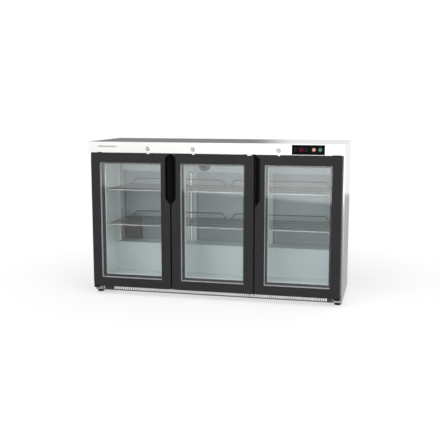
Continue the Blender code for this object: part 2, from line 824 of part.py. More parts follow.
def inset_outline(points, distance):
    """Move every side of a counter-clockwise outline inwards by a distance."""
    moved = []
    count = len(points)
    for i in range(count):
        before, here, after = (Vector(points[(i + n) % count]) for n in (-1, 0, 1))
        first = (here - before).normalized()
        second = (after - here).normalized()
        inward = Vector((-first.y, first.x)) + Vector((-second.y, second.x))
        moved.append(here + inward * (distance / (1 + first.dot(second))))
    return moved


def handle_outline(edge_x, inward, inset):
    """Outline of the grip in the front plane, with slanted ends.

    inward is +1 or -1, from the free edge towards the glass. A negative inset makes
    the outline larger.
    """
    points = (
        (0, HANDLE_BOTTOM),
        (0.005, HANDLE_BOTTOM),
        (HANDLE_WIDTH, HANDLE_BOTTOM + 0.032),
        (HANDLE_WIDTH, HANDLE_TOP - 0.0155),
        (0.007, HANDLE_TOP),
        (0, HANDLE_TOP),
    )
    return [(edge_x + inward * a, b) for a, b in inset_outline(points, inset)]


def make_handle(number, edge_x, inward, frame):
    depth_back = DOOR_FRONT + HANDLE_DEPTH
    notch_outline = handle_outline(edge_x, inward, -GAP)
    notch_outline[0] = (edge_x - inward * 0.003, notch_outline[0][1])
    notch_outline[-1] = (edge_x - inward * 0.003, notch_outline[-1][1])
    proud = DOOR_FRONT - 0.002
    notch = prism(f"grip_notch_{number}", None, notch_outline, proud, depth_back + GAP, "Y")
    cut(frame, notch)
    outline = handle_outline(edge_x, inward, 0)
    handle = prism(f"door_{number}_handle", BLACK_PLASTIC, outline, DOOR_FRONT, depth_back, "Y")
    cavity = handle_outline(edge_x, inward, HANDLE_WALL)
    hollow_back = depth_back - HANDLE_WALL
    hollow = prism(f"grip_hollow_{number}", None, cavity, proud, hollow_back, "Y")
    cut(handle, hollow)
    return handle


def make_gasket(name, x0):
    inset, width = GASKET_INSET, GASKET_WIDTH
    xs = (inset, inset + width, DOOR_WIDTH - inset - width, DOOR_WIDTH - inset)
    zs = (DOOR_BOTTOM + inset, DOOR_BOTTOM + inset + width)
    zs += (DOOR_TOP - inset - width, DOOR_TOP - inset)
    ys = (DOOR_BACK + GAP, CABINET_FRONT - GAP)
    return grid_part(
        name, RUBBER, [x0 + a for a in xs], ys, zs, lambda i, j, k: frame_ring((3, 3), (i, k))
    )


def make_glass(name, x0):
    grow = GLASS_OVERLAP - 0.0005
    low = (x0 + STILE - grow, DOOR_FRONT + FRONT_LIP + GAP, DOOR_BOTTOM + BOTTOM_RAIL - grow)
    high_x = x0 + DOOR_WIDTH - STILE + grow
    high = (high_x, low[1] + GLASS_THICK, DOOR_TOP - TOP_RAIL + grow)
    return box(name, GLASS, low, high)


def cut_pin_holes(frame, number, pivot_x):
    """Holes for the hinge pins at the top and bottom of the hung side."""
    starts = ((DOOR_TOP - PIN_LENGTH - 0.001, "top"), (DOOR_BOTTOM - 0.001, "bottom"))
    for z, place in starts:
        start = (pivot_x, PIVOT_Y, z)
        profile = rod(PIN_HOLE, PIN_LENGTH + 0.002)
        cut(frame, turned(f"pin_hole_{place}_{number}", None, profile, start, segments=16))


def cut_cam_slot(frame, number, index):
    """Slot in the top rail that the lock's cam swings down into."""
    x = lock_x(index)
    side = -1 if HINGE_SIDES[index] == "left" else 1
    near, far = sorted((x - side * 0.008, x + side * 0.034))
    low = (near, CAM_BACK - CAM_THICK - 0.0030, DOOR_TOP - 0.0135)
    high = (far, CAM_BACK + 0.0030, DOOR_TOP + 0.0010)
    cut(frame, box(f"cam_slot_{number}", None, low, high))


def make_hinges(number, pivot_x, side):
    """Top bracket with its pin down, and bottom bracket with its pin up."""
    top = f"door_{number}_top_hinge"
    low_z, high_z = DOOR_TOP + 0.0006, DOOR_TOP + 0.0026
    near, far = pivot_x - 0.019, pivot_x + 0.019
    back = CABINET_FRONT - GAP
    xs = (near, far)
    ys = (PIVOT_Y - 0.0085, back - SHEET, back)
    zs = (low_z, high_z, high_z + 0.022)
    bracket = grid_part(top, ZINC, xs, ys, zs, lambda i, j, k: k == 0 or j == 1)
    start = (pivot_x, PIVOT_Y, low_z - PIN_LENGTH + 0.002)
    pin = rod(PIN_RADIUS, PIN_LENGTH - 0.001)
    join(bracket, turned(f"{top}_pin", None, pin, start, segments=16))
    bottom = f"door_{number}_bottom_hinge"
    low_z, high_z = DOOR_BOTTOM - 0.0110, DOOR_BOTTOM - 0.0010
    reach = 0.0135
    outline = [(pivot_x + 0.018, back), (pivot_x - 0.018, back)]
    for i in range(9):
        angle = pi + pi * i / 8
        outline.append((pivot_x + 0.018 * cos(angle), PIVOT_Y + reach * sin(angle)))
    plate = prism(bottom, BLACK_PLASTIC, outline, low_z, high_z)
    start = (pivot_x, PIVOT_Y, high_z - 0.002)
    pin = rod(PIN_RADIUS, PIN_LENGTH)
    join(plate, turned(f"{bottom}_pin", None, pin, start, segments=16))


def make_door(index):
    number = index + 1
    x0 = door_left(index)
    hung_left = HINGE_SIDES[index] == "left"
    pivot_x = x0 + PIVOT_INSET if hung_left else x0 + DOOR_WIDTH - PIVOT_INSET
    free_x = x0 + DOOR_WIDTH if hung_left else x0
    inward = -1 if hung_left else 1
    frame = door_cells(f"door_{number}_frame", DOOR_GREY, x0)
    cut_pin_holes(frame, number, pivot_x)
    cut_cam_slot(frame, number, index)
    parts = [frame, make_handle(number, free_x, inward, frame)]
    parts.append(make_glass(f"door_{number}_glass", x0))
    parts.append(make_gasket(f"door_{number}_gasket", x0))
    empty = pivot(f"door_{number}_pivot", (pivot_x, PIVOT_Y, 0))
    for part in parts:
        hang(part, empty)
    make_hinges(number, pivot_x, inward)
    make_lock(index)


def main():
    make_worktop()
    make_side_panels()
    make_inner_walls()
    make_front_grille()
    make_uprights()
    make_shelf_racks()
    make_shelves()
    make_feet()
    make_light()
    make_evaporator()
    make_return_grille()
    make_machine()
    make_controls()
    for index in range(DOOR_COUNT):
        make_door(index)


clear_scene()
main()
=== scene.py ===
from math import acos, cos, pi, radians, sin, tan

import bmesh
import bpy
from mathutils import Matrix, Vector


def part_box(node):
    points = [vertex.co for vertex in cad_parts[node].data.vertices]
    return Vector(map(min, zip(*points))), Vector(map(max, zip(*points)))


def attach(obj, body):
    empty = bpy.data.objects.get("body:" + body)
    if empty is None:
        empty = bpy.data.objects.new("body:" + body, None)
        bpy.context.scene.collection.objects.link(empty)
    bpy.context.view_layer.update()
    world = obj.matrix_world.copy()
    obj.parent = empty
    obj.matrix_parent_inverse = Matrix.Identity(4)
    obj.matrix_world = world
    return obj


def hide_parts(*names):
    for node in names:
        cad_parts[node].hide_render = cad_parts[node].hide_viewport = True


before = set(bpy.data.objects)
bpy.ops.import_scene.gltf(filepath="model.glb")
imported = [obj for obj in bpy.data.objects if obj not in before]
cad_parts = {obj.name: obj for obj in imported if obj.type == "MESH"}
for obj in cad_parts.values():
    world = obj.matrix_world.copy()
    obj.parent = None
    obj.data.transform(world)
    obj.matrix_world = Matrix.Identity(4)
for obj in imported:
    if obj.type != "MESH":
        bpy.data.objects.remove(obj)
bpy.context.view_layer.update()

DOORS = (1, 2, 3)

# Black caps over each door's top hinge, as start and end in x from the hinge pin.
HINGE_CAPS = {1: ((0.031, 0.053),), 2: ((-0.036, -0.027), (0.011, 0.020)), 3: ((-0.040, 0.008),)}
FASCIA_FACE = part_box("worktop")[0].y
SHARP = radians(30)

# Brightness of the studio and of its ground ahead of the doors, left then right.
FRONT_LIGHT = (1.22, 1.62)
FRONT_GROUND = (0.26, 0.42)

# The floor near the object; far from it the floor and the backdrop glow white.
FLOOR_ALBEDO = 0.40
FLOOR_GLOW = 0.46
WHITE_GLOW = 1.02


# Meshes ------------------------------------------------------


def add_piece(name, bm, mat, body="cabinet", replaces=(), smooth=35):
    """Make an object from a bmesh and let it ride on a body of the frame."""
    bmesh.ops.recalc_face_normals(bm, faces=bm.faces)
    mesh = bpy.data.meshes.new(name)
    bm.to_mesh(mesh)
    bm.free()
    mesh.materials.append(mat)
    mesh.shade_smooth()
    mesh.set_sharp_from_angle(angle=radians(smooth))
    obj = bpy.data.objects.new(name, mesh)
    bpy.context.scene.collection.objects.link(obj)
    even = obj.modifiers.new("even_normals", "WEIGHTED_NORMAL")
    even.mode = "FACE_AREA"
    even.weight = 100
    even.keep_sharp = True
    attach(obj, body)
    if replaces:
        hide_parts(*replaces)
    return obj


def fill_cells(bm, xs, ys, zs, solid):
    """Add the outer faces of the solid cells of a grid of boxes."""
    verts = {}

    def vert(corner):
        if corner not in verts:
            i, j, k = corner
            verts[corner] = bm.verts.new((xs[i], ys[j], zs[k]))
        return verts[corner]

    counts = (len(xs) - 1, len(ys) - 1, len(zs) - 1)

    def is_solid(cell):
        return all(0 <= c < n for c, n in zip(cell, counts)) and solid(*cell)

    cells = [(i, j, k) for i in range(counts[0]) for j in range(counts[1]) for k in range(counts[2])]
    for cell in filter(is_solid, cells):
        for axis in range(3):
            u, v = [a for a in range(3) if a != axis]
            for side in (0, 1):
                beside = list(cell)
                beside[axis] += 1 if side else -1
                if is_solid(beside):
                    continue
                corners = []
                for du, dv in ((0, 0), (1, 0), (1, 1), (0, 1)):
                    corner = list(cell)
                    corner[axis] += side
                    corner[u] += du
                    corner[v] += dv
                    corners.append(vert(tuple(corner)))
                if (side == 1) == (axis == 1):
                    corners.reverse()
                bm.faces.new(corners)


def round_edges(bm, edges, width, segments, clamp=False):
    how = {"offset": width, "segments": segments, "clamp_overlap": clamp}
    bmesh.ops.bevel(bm, geom=edges, profile=0.5, affect="EDGES", **how)


def block(low, high, bevel=0.0, segments=2):
    """A box with rounded edges."""
    bm = bmesh.new()
    fill_cells(bm, *zip(low, high), lambda i, j, k: True)
    if bevel:
        round_edges(bm, list(bm.edges), bevel, segments)
    return bm


def merge(bm, other):
    """Move everything in another bmesh into bm."""
    mesh = bpy.data.meshes.new("merged")
    other.to_mesh(mesh)
    other.free()
    bm.from_mesh(mesh)
    bpy.data.meshes.remove(mesh)
    return bm


def bar(bm, low, high, bevel=0.0, segments=1):
    """Add a box with rounded edges to bm."""
    return merge(bm, block(low, high, bevel, segments))


def middle(node):
    """The middle of a node's box."""
    low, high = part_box(node)
    return (low + high) / 2


def turned(profile, center, axis="Z", segments=40, bm=None):
    """Turn (radius, height) points about an axis; radius 0 at both ends makes a solid."""
    own = bmesh.new()
    rings = []
    for radius, height in profile:
        count = segments if radius > 0 else 1
        angles = [2 * pi * i / segments for i in range(count)]
        rings.append([own.verts.new((radius * cos(a), radius * sin(a), height)) for a in angles])
    pairs = list(zip(rings, rings[1:]))
    if profile[0][0] > 0:
        pairs.append((rings[-1], rings[0]))
    for a, b in pairs:
        for i in range(segments):
            after = (i + 1) % segments
            ring = (a[i % len(a)], a[after % len(a)], b[after % len(b)], b[i % len(b)])
            own.faces.new(list(dict.fromkeys(ring)))
    if axis == "Y":
        bmesh.ops.transform(own, matrix=Matrix.Rotation(radians(-90), 4, "X"), verts=own.verts)
    bmesh.ops.translate(own, vec=center, verts=own.verts)
    bmesh.ops.recalc_face_normals(own, faces=own.faces)
    return own if bm is None else merge(bm, own)


def tube(bm, path, radius, sides=8, closed=False):
    """Sweep a circle along a path of points."""
    points = [Vector(p) for p in path]
    count = len(points)
    rings = []
    up = None
    for i, point in enumerate(points):
        before = points[i - 1] if closed or i > 0 else point
        after = points[(i + 1) % count] if closed or i < count - 1 else point
        ahead = ((after - point).normalized() + (point - before).normalized()).normalized()
        if up is None:
            up = ahead.orthogonal().normalized()
        up = (up - ahead * up.dot(ahead)).normalized()
        side = ahead.cross(up)
        ring = []
        for s in range(sides):
            angle = 2 * pi * s / sides
            ring.append(bm.verts.new(point + (up * cos(angle) + side * sin(angle)) * radius))
        rings.append(ring)
    pairs = list(zip(rings, rings[1:]))
    if closed:
        pairs.append((rings[-1], rings[0]))
    for a, b in pairs:
        for s in range(sides):
            after = (s + 1) % sides
            bm.faces.new((a[s], a[after], b[after], b[s]))
    if not closed:
        bm.faces.new(list(reversed(rings[0])))
        bm.faces.new(rings[-1])
    return bm


def bent_path(corners, radius, steps):
    """Round the corners of an open path with arcs."""
    points = [Vector(c) for c in corners]
    path = [points[0]]
    for before, here, after in zip(points, points[1:], points[2:]):
        back = (before - here).normalized()
        ahead = (after - here).normalized()
        half = acos(max(-1.0, min(1.0, back.dot(ahead)))) / 2
        reach = radius / tan(half)
        center = here + (back + ahead).normalized() * (radius / sin(half))
        start, end = here + back * reach - center, here + ahead * reach - center
        for step in range(steps + 1):
            path.append(center + start.slerp(end, step / steps) * radius)
    return [*path, points[-1]]


def ring_sweep(rect, profile):
    """Sweep a closed profile of (inset, y) points round a rectangle, mitred at the corners."""
    bm = bmesh.new()
    x0, x1, z0, z1 = rect
    loops = []
    for sx, sz in ((0, 0), (1, 0), (1, 1), (0, 1)):
        loop = []
        for inset, y in profile:
            x = x1 - inset if sx else x0 + inset
            z = z1 - inset if sz else z0 + inset
            loop.append(bm.verts.new((x, y, z)))
        loops.append(loop)
    count = len(profile)
    for a, b in zip(loops, loops[1:] + loops[:1]):
        for i in range(count):
            after = (i + 1) % count
            bm.faces.new((a[i], b[i], b[after], a[after]))
    return bm


def soft_profile(a0, a1, y0, y1, r):
    """A rectangle profile with its corners cut by r."""
    front = [(a0 + r, y0), (a1 - r, y0), (a1, y0 + r)]
    return [*front, (a1, y1 - r), (a1 - r, y1), (a0 + r, y1), (a0, y1 - r), (a0, y0 + r)]


def soft_copy(name, node, mat, width, segments=1, body="cabinet"):
    """A copy of a CAD node with its edges rounded, which stands for the node."""
    bm = bmesh.new()
    bm.from_mesh(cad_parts[node].data)
    bmesh.ops.remove_doubles(bm, verts=bm.verts, dist=1e-6)
    bmesh.ops.dissolve_limit(bm, angle_limit=radians(1), verts=bm.verts, edges=bm.edges)
    edges = [e for e in bm.edges if e.is_manifold and e.calc_face_angle(0) > SHARP]
    round_edges(bm, edges, width, segments, clamp=True)
    return add_piece(name, bm, mat, body, (node,))


# Materials ---------------------------------------------------


def new_material(name):
    mat = bpy.data.materials.new(name)
    mat.use_nodes = True
    tree = mat.node_tree
    return mat, tree, tree.nodes["Principled BSDF"]


def put(tree, node, sources):
    """Set a node's inputs, by name or place, to values, or link them to other nodes' outputs."""
    for key, source in sources.items():
        if isinstance(source, bpy.types.NodeSocket):
            tree.links.new(source, node.inputs[key])
        else:
            node.inputs[key].default_value = source


def make_node(tree, kind, sources=None, **settings):
    """Add a shader node with its settings and inputs."""
    node = tree.nodes.new("ShaderNode" + kind)
    for name, setting in settings.items():
        setattr(node, name, setting)
    put(tree, node, sources or {})
    return node


def value(tree, operation, a, b):
    """A math node on numbers or sockets."""
    return make_node(tree, "Math", {0: a, 1: b}, operation=operation).outputs[0]


def smooth_step(tree, source, start, end, low=0.0, high=1.0):
    """low before start, high after end, with a soft change between."""
    ends = {"Value": source, "From Min": start, "From Max": end, "To Min": low, "To Max": high}
    return make_node(tree, "MapRange", ends, interpolation_type="SMOOTHSTEP").outputs["Result"]


def blend_by(tree, share, first, second):
    """first where share is 0, second where it is 1."""
    left = value(tree, "MULTIPLY", value(tree, "SUBTRACT", 1.0, share), first)
    return value(tree, "ADD", left, value(tree, "MULTIPLY", share, second))


def noise(tree, scale, stretch=(1, 1, 1), detail=3.0):
    """A noise texture in object space, stretched along some axes."""
    place = make_node(tree, "TexCoord").outputs["Object"]
    place = make_node(tree, "Mapping", {"Vector": place, "Scale": stretch}).outputs["Vector"]
    grain = {"Vector": place, "Scale": scale, "Detail": detail, "Roughness": 0.55}
    return make_node(tree, "TexNoise", grain).outputs["Fac"]


def ramp(tree, source, low, high):
    """Map a noise value to a range of numbers."""
    ends = {"Value": source, "From Min": 0.3, "From Max": 0.7, "To Min": low, "To Max": high}
    return make_node(tree, "MapRange", ends).outputs["Result"]


def tint(tree, source, color, spread):
    """Vary a colour a little either way by a noise value."""
    darker, lighter = ([min(1.0, c * share) for c in color] for share in (1 - spread, 1 + spread))
    mixed = {0: ramp(tree, source, 0.0, 1.0), 6: (*darker, 1.0), 7: (*lighter, 1.0)}
    return make_node(tree, "Mix", mixed, data_type="RGBA").outputs[2]


def bump(tree, source, strength, distance):
    relief = {"Height": source, "Strength": strength, "Distance": distance}
    return make_node(tree, "Bump", relief).outputs["Normal"]


def surface(
    name, color, roughness, metallic=0.0, grain=900.0, stretch=(1, 1, 1), spread=0.04,
    rough_spread=0.05, relief=0.15, depth=0.0001, cloud=3.0, gloss=0.5,
):
    """A material with fine grain in its roughness and relief, and broad colour variation."""
    mat, tree, shader = new_material(name)
    fine = noise(tree, grain, stretch)
    broad = noise(tree, cloud, detail=2.0)
    look = {"Metallic": metallic, "Specular IOR Level": gloss}
    look["Base Color"] = tint(tree, broad, color, spread)
    look["Roughness"] = ramp(tree, fine, roughness - rough_spread, roughness + rough_spread)
    look["Normal"] = bump(tree, fine, relief, depth)
    put(tree, shader, look)
    return mat


def paint_shade_below(mat, start, end, share):
    """Paint shade into a material's colour below a height: a painted soft shadow."""
    tree = mat.node_tree
    shader = tree.nodes["Principled BSDF"]
    color = shader.inputs["Base Color"].links[0].from_socket
    place = make_node(tree, "NewGeometry").outputs["Position"]
    height = make_node(tree, "SeparateXYZ", {0: place}).outputs[2]
    dim = smooth_step(tree, height, start, end, share, 1.0)
    shaded = make_node(tree, "VectorMath", {0: color, "Scale": dim}, operation="SCALE")
    put(tree, shader, {"Base Color": shaded.outputs[0]})


def brushed(name, color, roughness, stretch):
    """Brushed stainless steel, its lines along the axis that stretch keeps long."""
    return surface(name, color, roughness, 1.0, 90.0, stretch, 0.03, 0.035, 0.06, 0.00004, cloud=1.3)


def enamel(name, color, roughness, metallic, spread=0.03, relief=0.02, cloud=3.0):
    return surface(name, color, roughness, metallic, 700.0, spread=spread, relief=relief, cloud=cloud)


def plastic(name, color, roughness, grain, spread, relief, gloss=0.5):
    return surface(name, color, roughness, 0.0, grain, spread=spread, relief=relief, gloss=gloss)


def glow(name, color, strength, roughness=0.25, gloss=0.15):
    """A surface that glows a little in its own colour, faintly clouded in colour and gloss."""
    mat, tree, shader = new_material(name)
    fine = noise(tree, 260.0)
    shade = tint(tree, fine, color, 0.12)
    look = {"Base Color": shade, "Emission Color": shade, "Emission Strength": strength}
    look["Roughness"] = ramp(tree, fine, roughness - 0.05, roughness + 0.05)
    look["Specular IOR Level"] = gloss
    put(tree, shader, look)
    return mat


def pane_glass(name, color, mirror):
    """Thin clear glass: it lets light straight through and mirrors by Schlick's rule."""
    mat, tree, shader = new_material(name)
    smear = ramp(tree, noise(tree, 9.0, (1, 1, 2.5)), 0.0, 0.035)
    put(tree, shader, {"Base Color": (1, 1, 1, 1), "Metallic": 1.0, "Roughness": smear})
    clear = make_node(tree, "BsdfTransparent", {"Color": (*color, 1.0)}).outputs[0]
    facing = make_node(tree, "LayerWeight", {"Blend": 0.5}).outputs["Facing"]
    slant = value(tree, "POWER", facing, 5.0)
    share = make_node(tree, "MapRange", {"Value": slant, "To Min": mirror}).outputs["Result"]
    mix = make_node(tree, "MixShader", {"Fac": share, 1: clear, 2: shader.outputs[0]})
    put(tree, tree.nodes["Material Output"], {"Surface": mix.outputs[0]})
    return mat


def galvanised(name, color, roughness):
    """Zinc-plated sheet with faint crystal patches."""
    mat, tree, shader = new_material(name)
    place = make_node(tree, "TexCoord").outputs["Object"]
    cells = make_node(tree, "TexVoronoi", {"Vector": place, "Scale": 90.0})
    grey = make_node(tree, "RGBToBW", {0: cells.outputs["Color"]}).outputs[0]
    look = {"Metallic": 1.0, "Base Color": tint(tree, grey, color, 0.025)}
    look["Roughness"] = ramp(tree, grey, roughness - 0.025, roughness + 0.03)
    look["Normal"] = bump(tree, noise(tree, 500.0), 0.08, 0.00005)
    put(tree, shader, look)
    return mat


ALONG_X = (0.4, 60, 60)
ALONG_Z = (60, 60, 0.4)
TOP_STEEL = brushed("top_steel", (0.86, 0.86, 0.84), 0.17, ALONG_X)
SIDE_STEEL = brushed("side_steel", (0.82, 0.815, 0.785), 0.09, ALONG_Z)
BACK_STEEL = brushed("back_steel", (0.72, 0.725, 0.72), 0.30, ALONG_X)
PLINTH_STEEL = brushed("plinth_steel", (0.17, 0.17, 0.168), 0.34, ALONG_X)
# Pan behind the plinth slots that glows though it is no lamp: painted light.
GLOWING_PAN = glow("pan_painted_glow", (0.92, 0.92, 0.91), 0.75, 0.5)
SHELF_STEEL = surface("shelf_steel", (0.20, 0.205, 0.21), 0.34, 0.5, relief=0.05)
RIM_STEEL = surface("shelf_rim_steel", (0.68, 0.67, 0.675), 0.34, 0.3, relief=0.05)
LINER = enamel("liner_enamel", (0.66, 0.725, 0.735), 0.38, 0.15)
# Lighter copy of the liner enamel for the side walls: painted light.
LIT_SIDE_LINER = enamel("side_enamel_painted_light", (0.79, 0.86, 0.87), 0.38, 0.15)
# Darker copy of the liner enamel for the rear wall: painted shade.
SHADED_REAR_LINER = enamel("rear_enamel_painted_shade", (0.49, 0.55, 0.565), 0.36, 0.20, spread=0.05, cloud=2.0)
STEP_LINER = enamel("step_enamel", (0.70, 0.765, 0.775), 0.30, 0.20, relief=0.01)
POST_STEEL = surface("post_steel", (0.80, 0.77, 0.735), 0.40, 0.30, 500.0, relief=0.05)
# Liner behind the shelf strips' slots that glows though it is no lamp: painted light.
GLOWING_STRIP = glow("strip_painted_glow", (0.96, 0.91, 0.84), 0.55, 0.4)
STRIP_BROWN = surface("strip_face", (0.26, 0.225, 0.195), 0.45, 0.4, 500.0, gloss=0.3)
FRAME_GREY = plastic("frame_coat", (0.0165, 0.0165, 0.0175), 0.45, 950.0, 0.06, 0.20, 0.16)
GRIP_BLACK = plastic("grip_plastic", (0.0035, 0.0035, 0.0038), 0.36, 1100.0, 0.08, 0.25, 0.09)
DEEP_BLACK = plastic("black_plastic", (0.006, 0.006, 0.0065), 0.40, 900.0, 0.08, 0.20, 0.15)
PLATE_BLACK = plastic("plate_black", (0.0026, 0.0026, 0.0026), 0.35, 900.0, 0.06, 0.10, 0.04)
RUBBER = plastic("rubber", (0.010, 0.010, 0.011), 0.75, 700.0, 0.10, 0.35, 0.2)
INNER_BLACK = plastic("inner_profile", (0.010, 0.014, 0.015), 0.4, 800.0, 0.06, 0.15, 0.2)
TRIM_LIGHT = plastic("inner_trim", (0.80, 0.83, 0.83), 0.35, 700.0, 0.03, 0.05)
COMPRESSOR = plastic("compressor_paint", (0.010, 0.010, 0.011), 0.28, 350.0, 0.10, 0.30)
LOUVRE = plastic("louvre_plastic", (0.16, 0.148, 0.142), 0.50, 800.0, 0.06, 0.10)
KEY_GREY = plastic("key_marks", (0.09, 0.09, 0.10), 0.5, 900.0, 0.04, 0.15)
PLATE_GREY = plastic("nameplate", (0.30, 0.30, 0.30), 0.45, 500.0, 0.04, 0.15, 0.3)
PANEL_FINISH = {"rough_spread": 0.03, "relief": 0.02, "gloss": 0.02}
PANEL_BLACK = surface("panel_black", (0.002, 0.002, 0.0022), 0.12, 0.0, 300.0, **PANEL_FINISH)
SPACER = surface("spacer_aluminium", (0.52, 0.51, 0.53), 0.42, 0.4, 420.0, (1, 6, 1), relief=0.10)
CHROME = surface("lock_chrome", (0.62, 0.62, 0.615), 0.18, 1.0, rough_spread=0.04, relief=0.05)
# Painted shade inside the key slots of the locks.
KEY_SLOT_SHADE = surface("key_slot", (0.02, 0.02, 0.02), 0.5, 0.5)
ZINC = galvanised("zinc_plate", (0.74, 0.745, 0.74), 0.30)
ALUMINIUM = surface("fin_aluminium", (0.78, 0.785, 0.79), 0.35, 1.0, 500.0, ALONG_Z, relief=0.10)
COPPER = surface("copper_pipe", (0.72, 0.36, 0.24), 0.30, 1.0, 300.0, spread=0.10, relief=0.10)
LIGHT_COVER = glow("light_cover", (0.86, 0.90, 0.90), 0.10, 0.40)
PANE = pane_glass("pane", (0.985, 0.992, 0.992), 0.044)
GREEN = glow("green_lens", (0.050, 0.118, 0.078), 0.55)
ORANGE = glow("orange_lens", (0.32, 0.165, 0.132), 0.60)
DISPLAY = glow("display_window", (0.015, 0.0022, 0.0036), 0.8, 0.12, 0.03)
DIGITS = glow("display_digits", (0.13, 0.014, 0.024), 0.8, 0.3, 0.03)


def dress(mat, *nodes):
    """Give CAD nodes that keep their shape a better material."""
    for node in nodes:
        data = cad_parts[node].data
        data.materials.clear()
        data.materials.append(mat)
        data.shade_smooth()
        data.set_sharp_from_angle(angle=SHARP)


# Cabinet -----------------------------------------------------


def make_shell():
    """Stainless outside, enamelled inside, and a thin lip under the worktop's front."""
    soft_copy("worktop_sheet", "worktop", TOP_STEEL, 0.0009, 2)
    for side, inward in (("left", 1), ("right", -1)):
        name = f"{side}_side_sheet"
        sheet = soft_copy(name, f"{side}_side_panel", SIDE_STEEL, 0.0010, 2)
        line_inside(sheet, inward)
    fascia_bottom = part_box("worktop")[0].z
    left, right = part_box("door_1_frame")[0].x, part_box("door_3_frame")[1].x
    low = (left, FASCIA_FACE + 0.0002, fascia_bottom - 0.0016)
    lip = block(low, (right, FASCIA_FACE + 0.0012, fascia_bottom - 0.0001), 0.0002, 1)
    add_piece("fascia_lip", lip, TOP_STEEL)
    dress(LINER, "ceiling_panel", "mullion_left", "mullion_right", "evaporator_cover")
    rear = soft_copy("rear_wall_sheet", "rear_wall_panel", BACK_STEEL, 0.0006)
    # Painted shadow on the rear wall below the lower shelf.
    paint_shade_below(SHADED_REAR_LINER, start=0.385, end=0.43, share=0.70)
    # The rear wall's inner faces take the darker enamel with painted shade.
    rear.data.materials.append(SHADED_REAR_LINER)
    for face in rear.data.polygons:
        if face.normal.y < 0.5:
            face.material_index = 1
    dress(STEP_LINER, "floor_panel")
    dress(ZINC, "compressor_tray")
    dress(POST_STEEL, "shelf_rack_left", "shelf_rack_right")


def line_inside(sheet, inward):
    """Give the faces that look into the cabinet the liner's enamel, in its lighter copy with painted
    light.
    """
    sheet.data.materials.append(LIT_SIDE_LINER)
    outer_skin = abs(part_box("left_side_panel")[0].x) - 0.010
    for face in sheet.data.polygons:
        if face.normal.x * inward > 0.5 and abs(face.center.x) < outer_skin:
            face.material_index = 1


def make_corner_shade_beads():
    """Dark beads down the two rear corners of the liner: painted shade in the corners."""
    low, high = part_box("rear_upright_left")
    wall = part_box("right_side_panel")[0].x
    gap, bead = 0.0002, 0.0040
    back = high.y - gap
    bm = bmesh.new()
    for side in (-1, 1):
        start, end = sorted((side * (wall - gap), side * (wall - gap - bead)))
        bar(bm, (start, back - bead, low.z), (end, back, high.z - 0.002), 0.0010, 2)
    add_piece("liner_corner_shade_beads", bm, LOUVRE)


def make_plinth():
    """Slotted plinth strip, with a pan behind its slots that glows as painted light, and a dark block at
    each end.
    """
    soft_copy("plinth_strip", "front_grille", PLINTH_STEEL, 0.0004)
    low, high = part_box("front_grille")
    y = high.y + 0.004
    first, last = low.x + 0.068, high.x - 0.036
    bm = block((first, y, low.z + 0.006), (last, y + 0.001, high.z - 0.002), 0.0002, 1)
    # The pan glows: painted light seen through the slots.
    add_piece("plinth_glowing_pan", bm, GLOWING_PAN)
    bm = bmesh.new()
    for start, end in ((low.x + 0.012, first - 0.0005), (last + 0.0005, high.x - 0.010)):
        bar(bm, (start, y, low.z + 0.003), (end, y + 0.003, high.z - 0.001), 0.0003)
    add_piece("plinth_corner_blocks", bm, RUBBER)


def make_nameplate():
    """A blank plate where makers fix theirs."""
    width, height, middle_z = 0.110, 0.009, 0.8640
    x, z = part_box("worktop")[0].x + 0.058, middle_z - height / 2
    bm = block((x, FASCIA_FACE - 0.0009, z), (x + width, FASCIA_FACE - 0.0001, z + height), 0.0004)
    add_piece("blank_nameplate", bm, PLATE_GREY)


def make_locks():
    """Chromed barrel with a rolled rim, its hexagon nut and the turning plug."""
    for n in DOORS:
        low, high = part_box(f"lock_barrel_{n}")
        center = Vector(((low.x + high.x) / 2, 0, (low.z + high.z) / 2))
        front, back = low.y, high.y
        outer, body, bore = (high.x - low.x) / 2, 0.0095, 0.0067
        shoulder = front + 0.0027
        profile = [(bore, front + 0.0014), (0.0078, front + 0.0004), (0.0088, front), (0.0108, front)]
        profile += [(outer - 0.0012, front + 0.0005), (outer - 0.0002, front + 0.0016)]
        profile += [(outer, shoulder), (body, shoulder), (body, back), (bore, back)]
        bm = turned(profile, center, "Y", 48)
        add_piece(f"lock_ring_{n}", bm, CHROME, replaces=(f"lock_barrel_{n}",))
        nut = [(0.0098, 0.0068), (0.0128, 0.0068), (0.0128, 0.0098), (0.0098, 0.0098)]
        bm = turned(nut, center + Vector((0, front, 0)), "Y", 6)
        add_piece(f"lock_nut_{n}", bm, ZINC, smooth=20)
        node = f"lock_plug_{n}"
        plug = soft_copy(f"{node}_core", node, CHROME, 0.0002, body=f"lock_{n}")
        # The key slot's walls and floor take painted shade.
        paint_key_slot_shade(plug, center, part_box(node)[0].y)


def paint_key_slot_shade(plug, center, front):
    """Paint shade on the walls and floor of the key slot."""
    reach, start, end = 0.0052, front + 0.0003, front + 0.003
    plug.data.materials.append(KEY_SLOT_SHADE)
    for face in plug.data.polygons:
        spot = face.center
        inside = (spot.x - center.x) ** 2 + (spot.z - center.z) ** 2 < reach**2
        if inside and start < spot.y < end:
            face.material_index = 1


def make_uprights():
    """Rear uprights with perforated strips on their faces, broken where a shelf clip stands out."""
    clips = [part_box(f"shelf_{level}_left")[0].z for level in ("lower", "upper")]
    for side in ("left", "right"):
        node = f"rear_upright_{side}"
        soft_copy(f"{node}_sheet", node, LINER, 0.0008)
        low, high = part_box(node)
        starts = [low.z + 0.004, *(z + 0.001 for z in clips)]
        ends = [*(z - 0.0135 for z in clips), high.z - 0.004]
        face = high.y - 0.0165
        perforated_strip(f"shelf_strip_{side}", (low.x + high.x) / 2, face, zip(starts, ends))


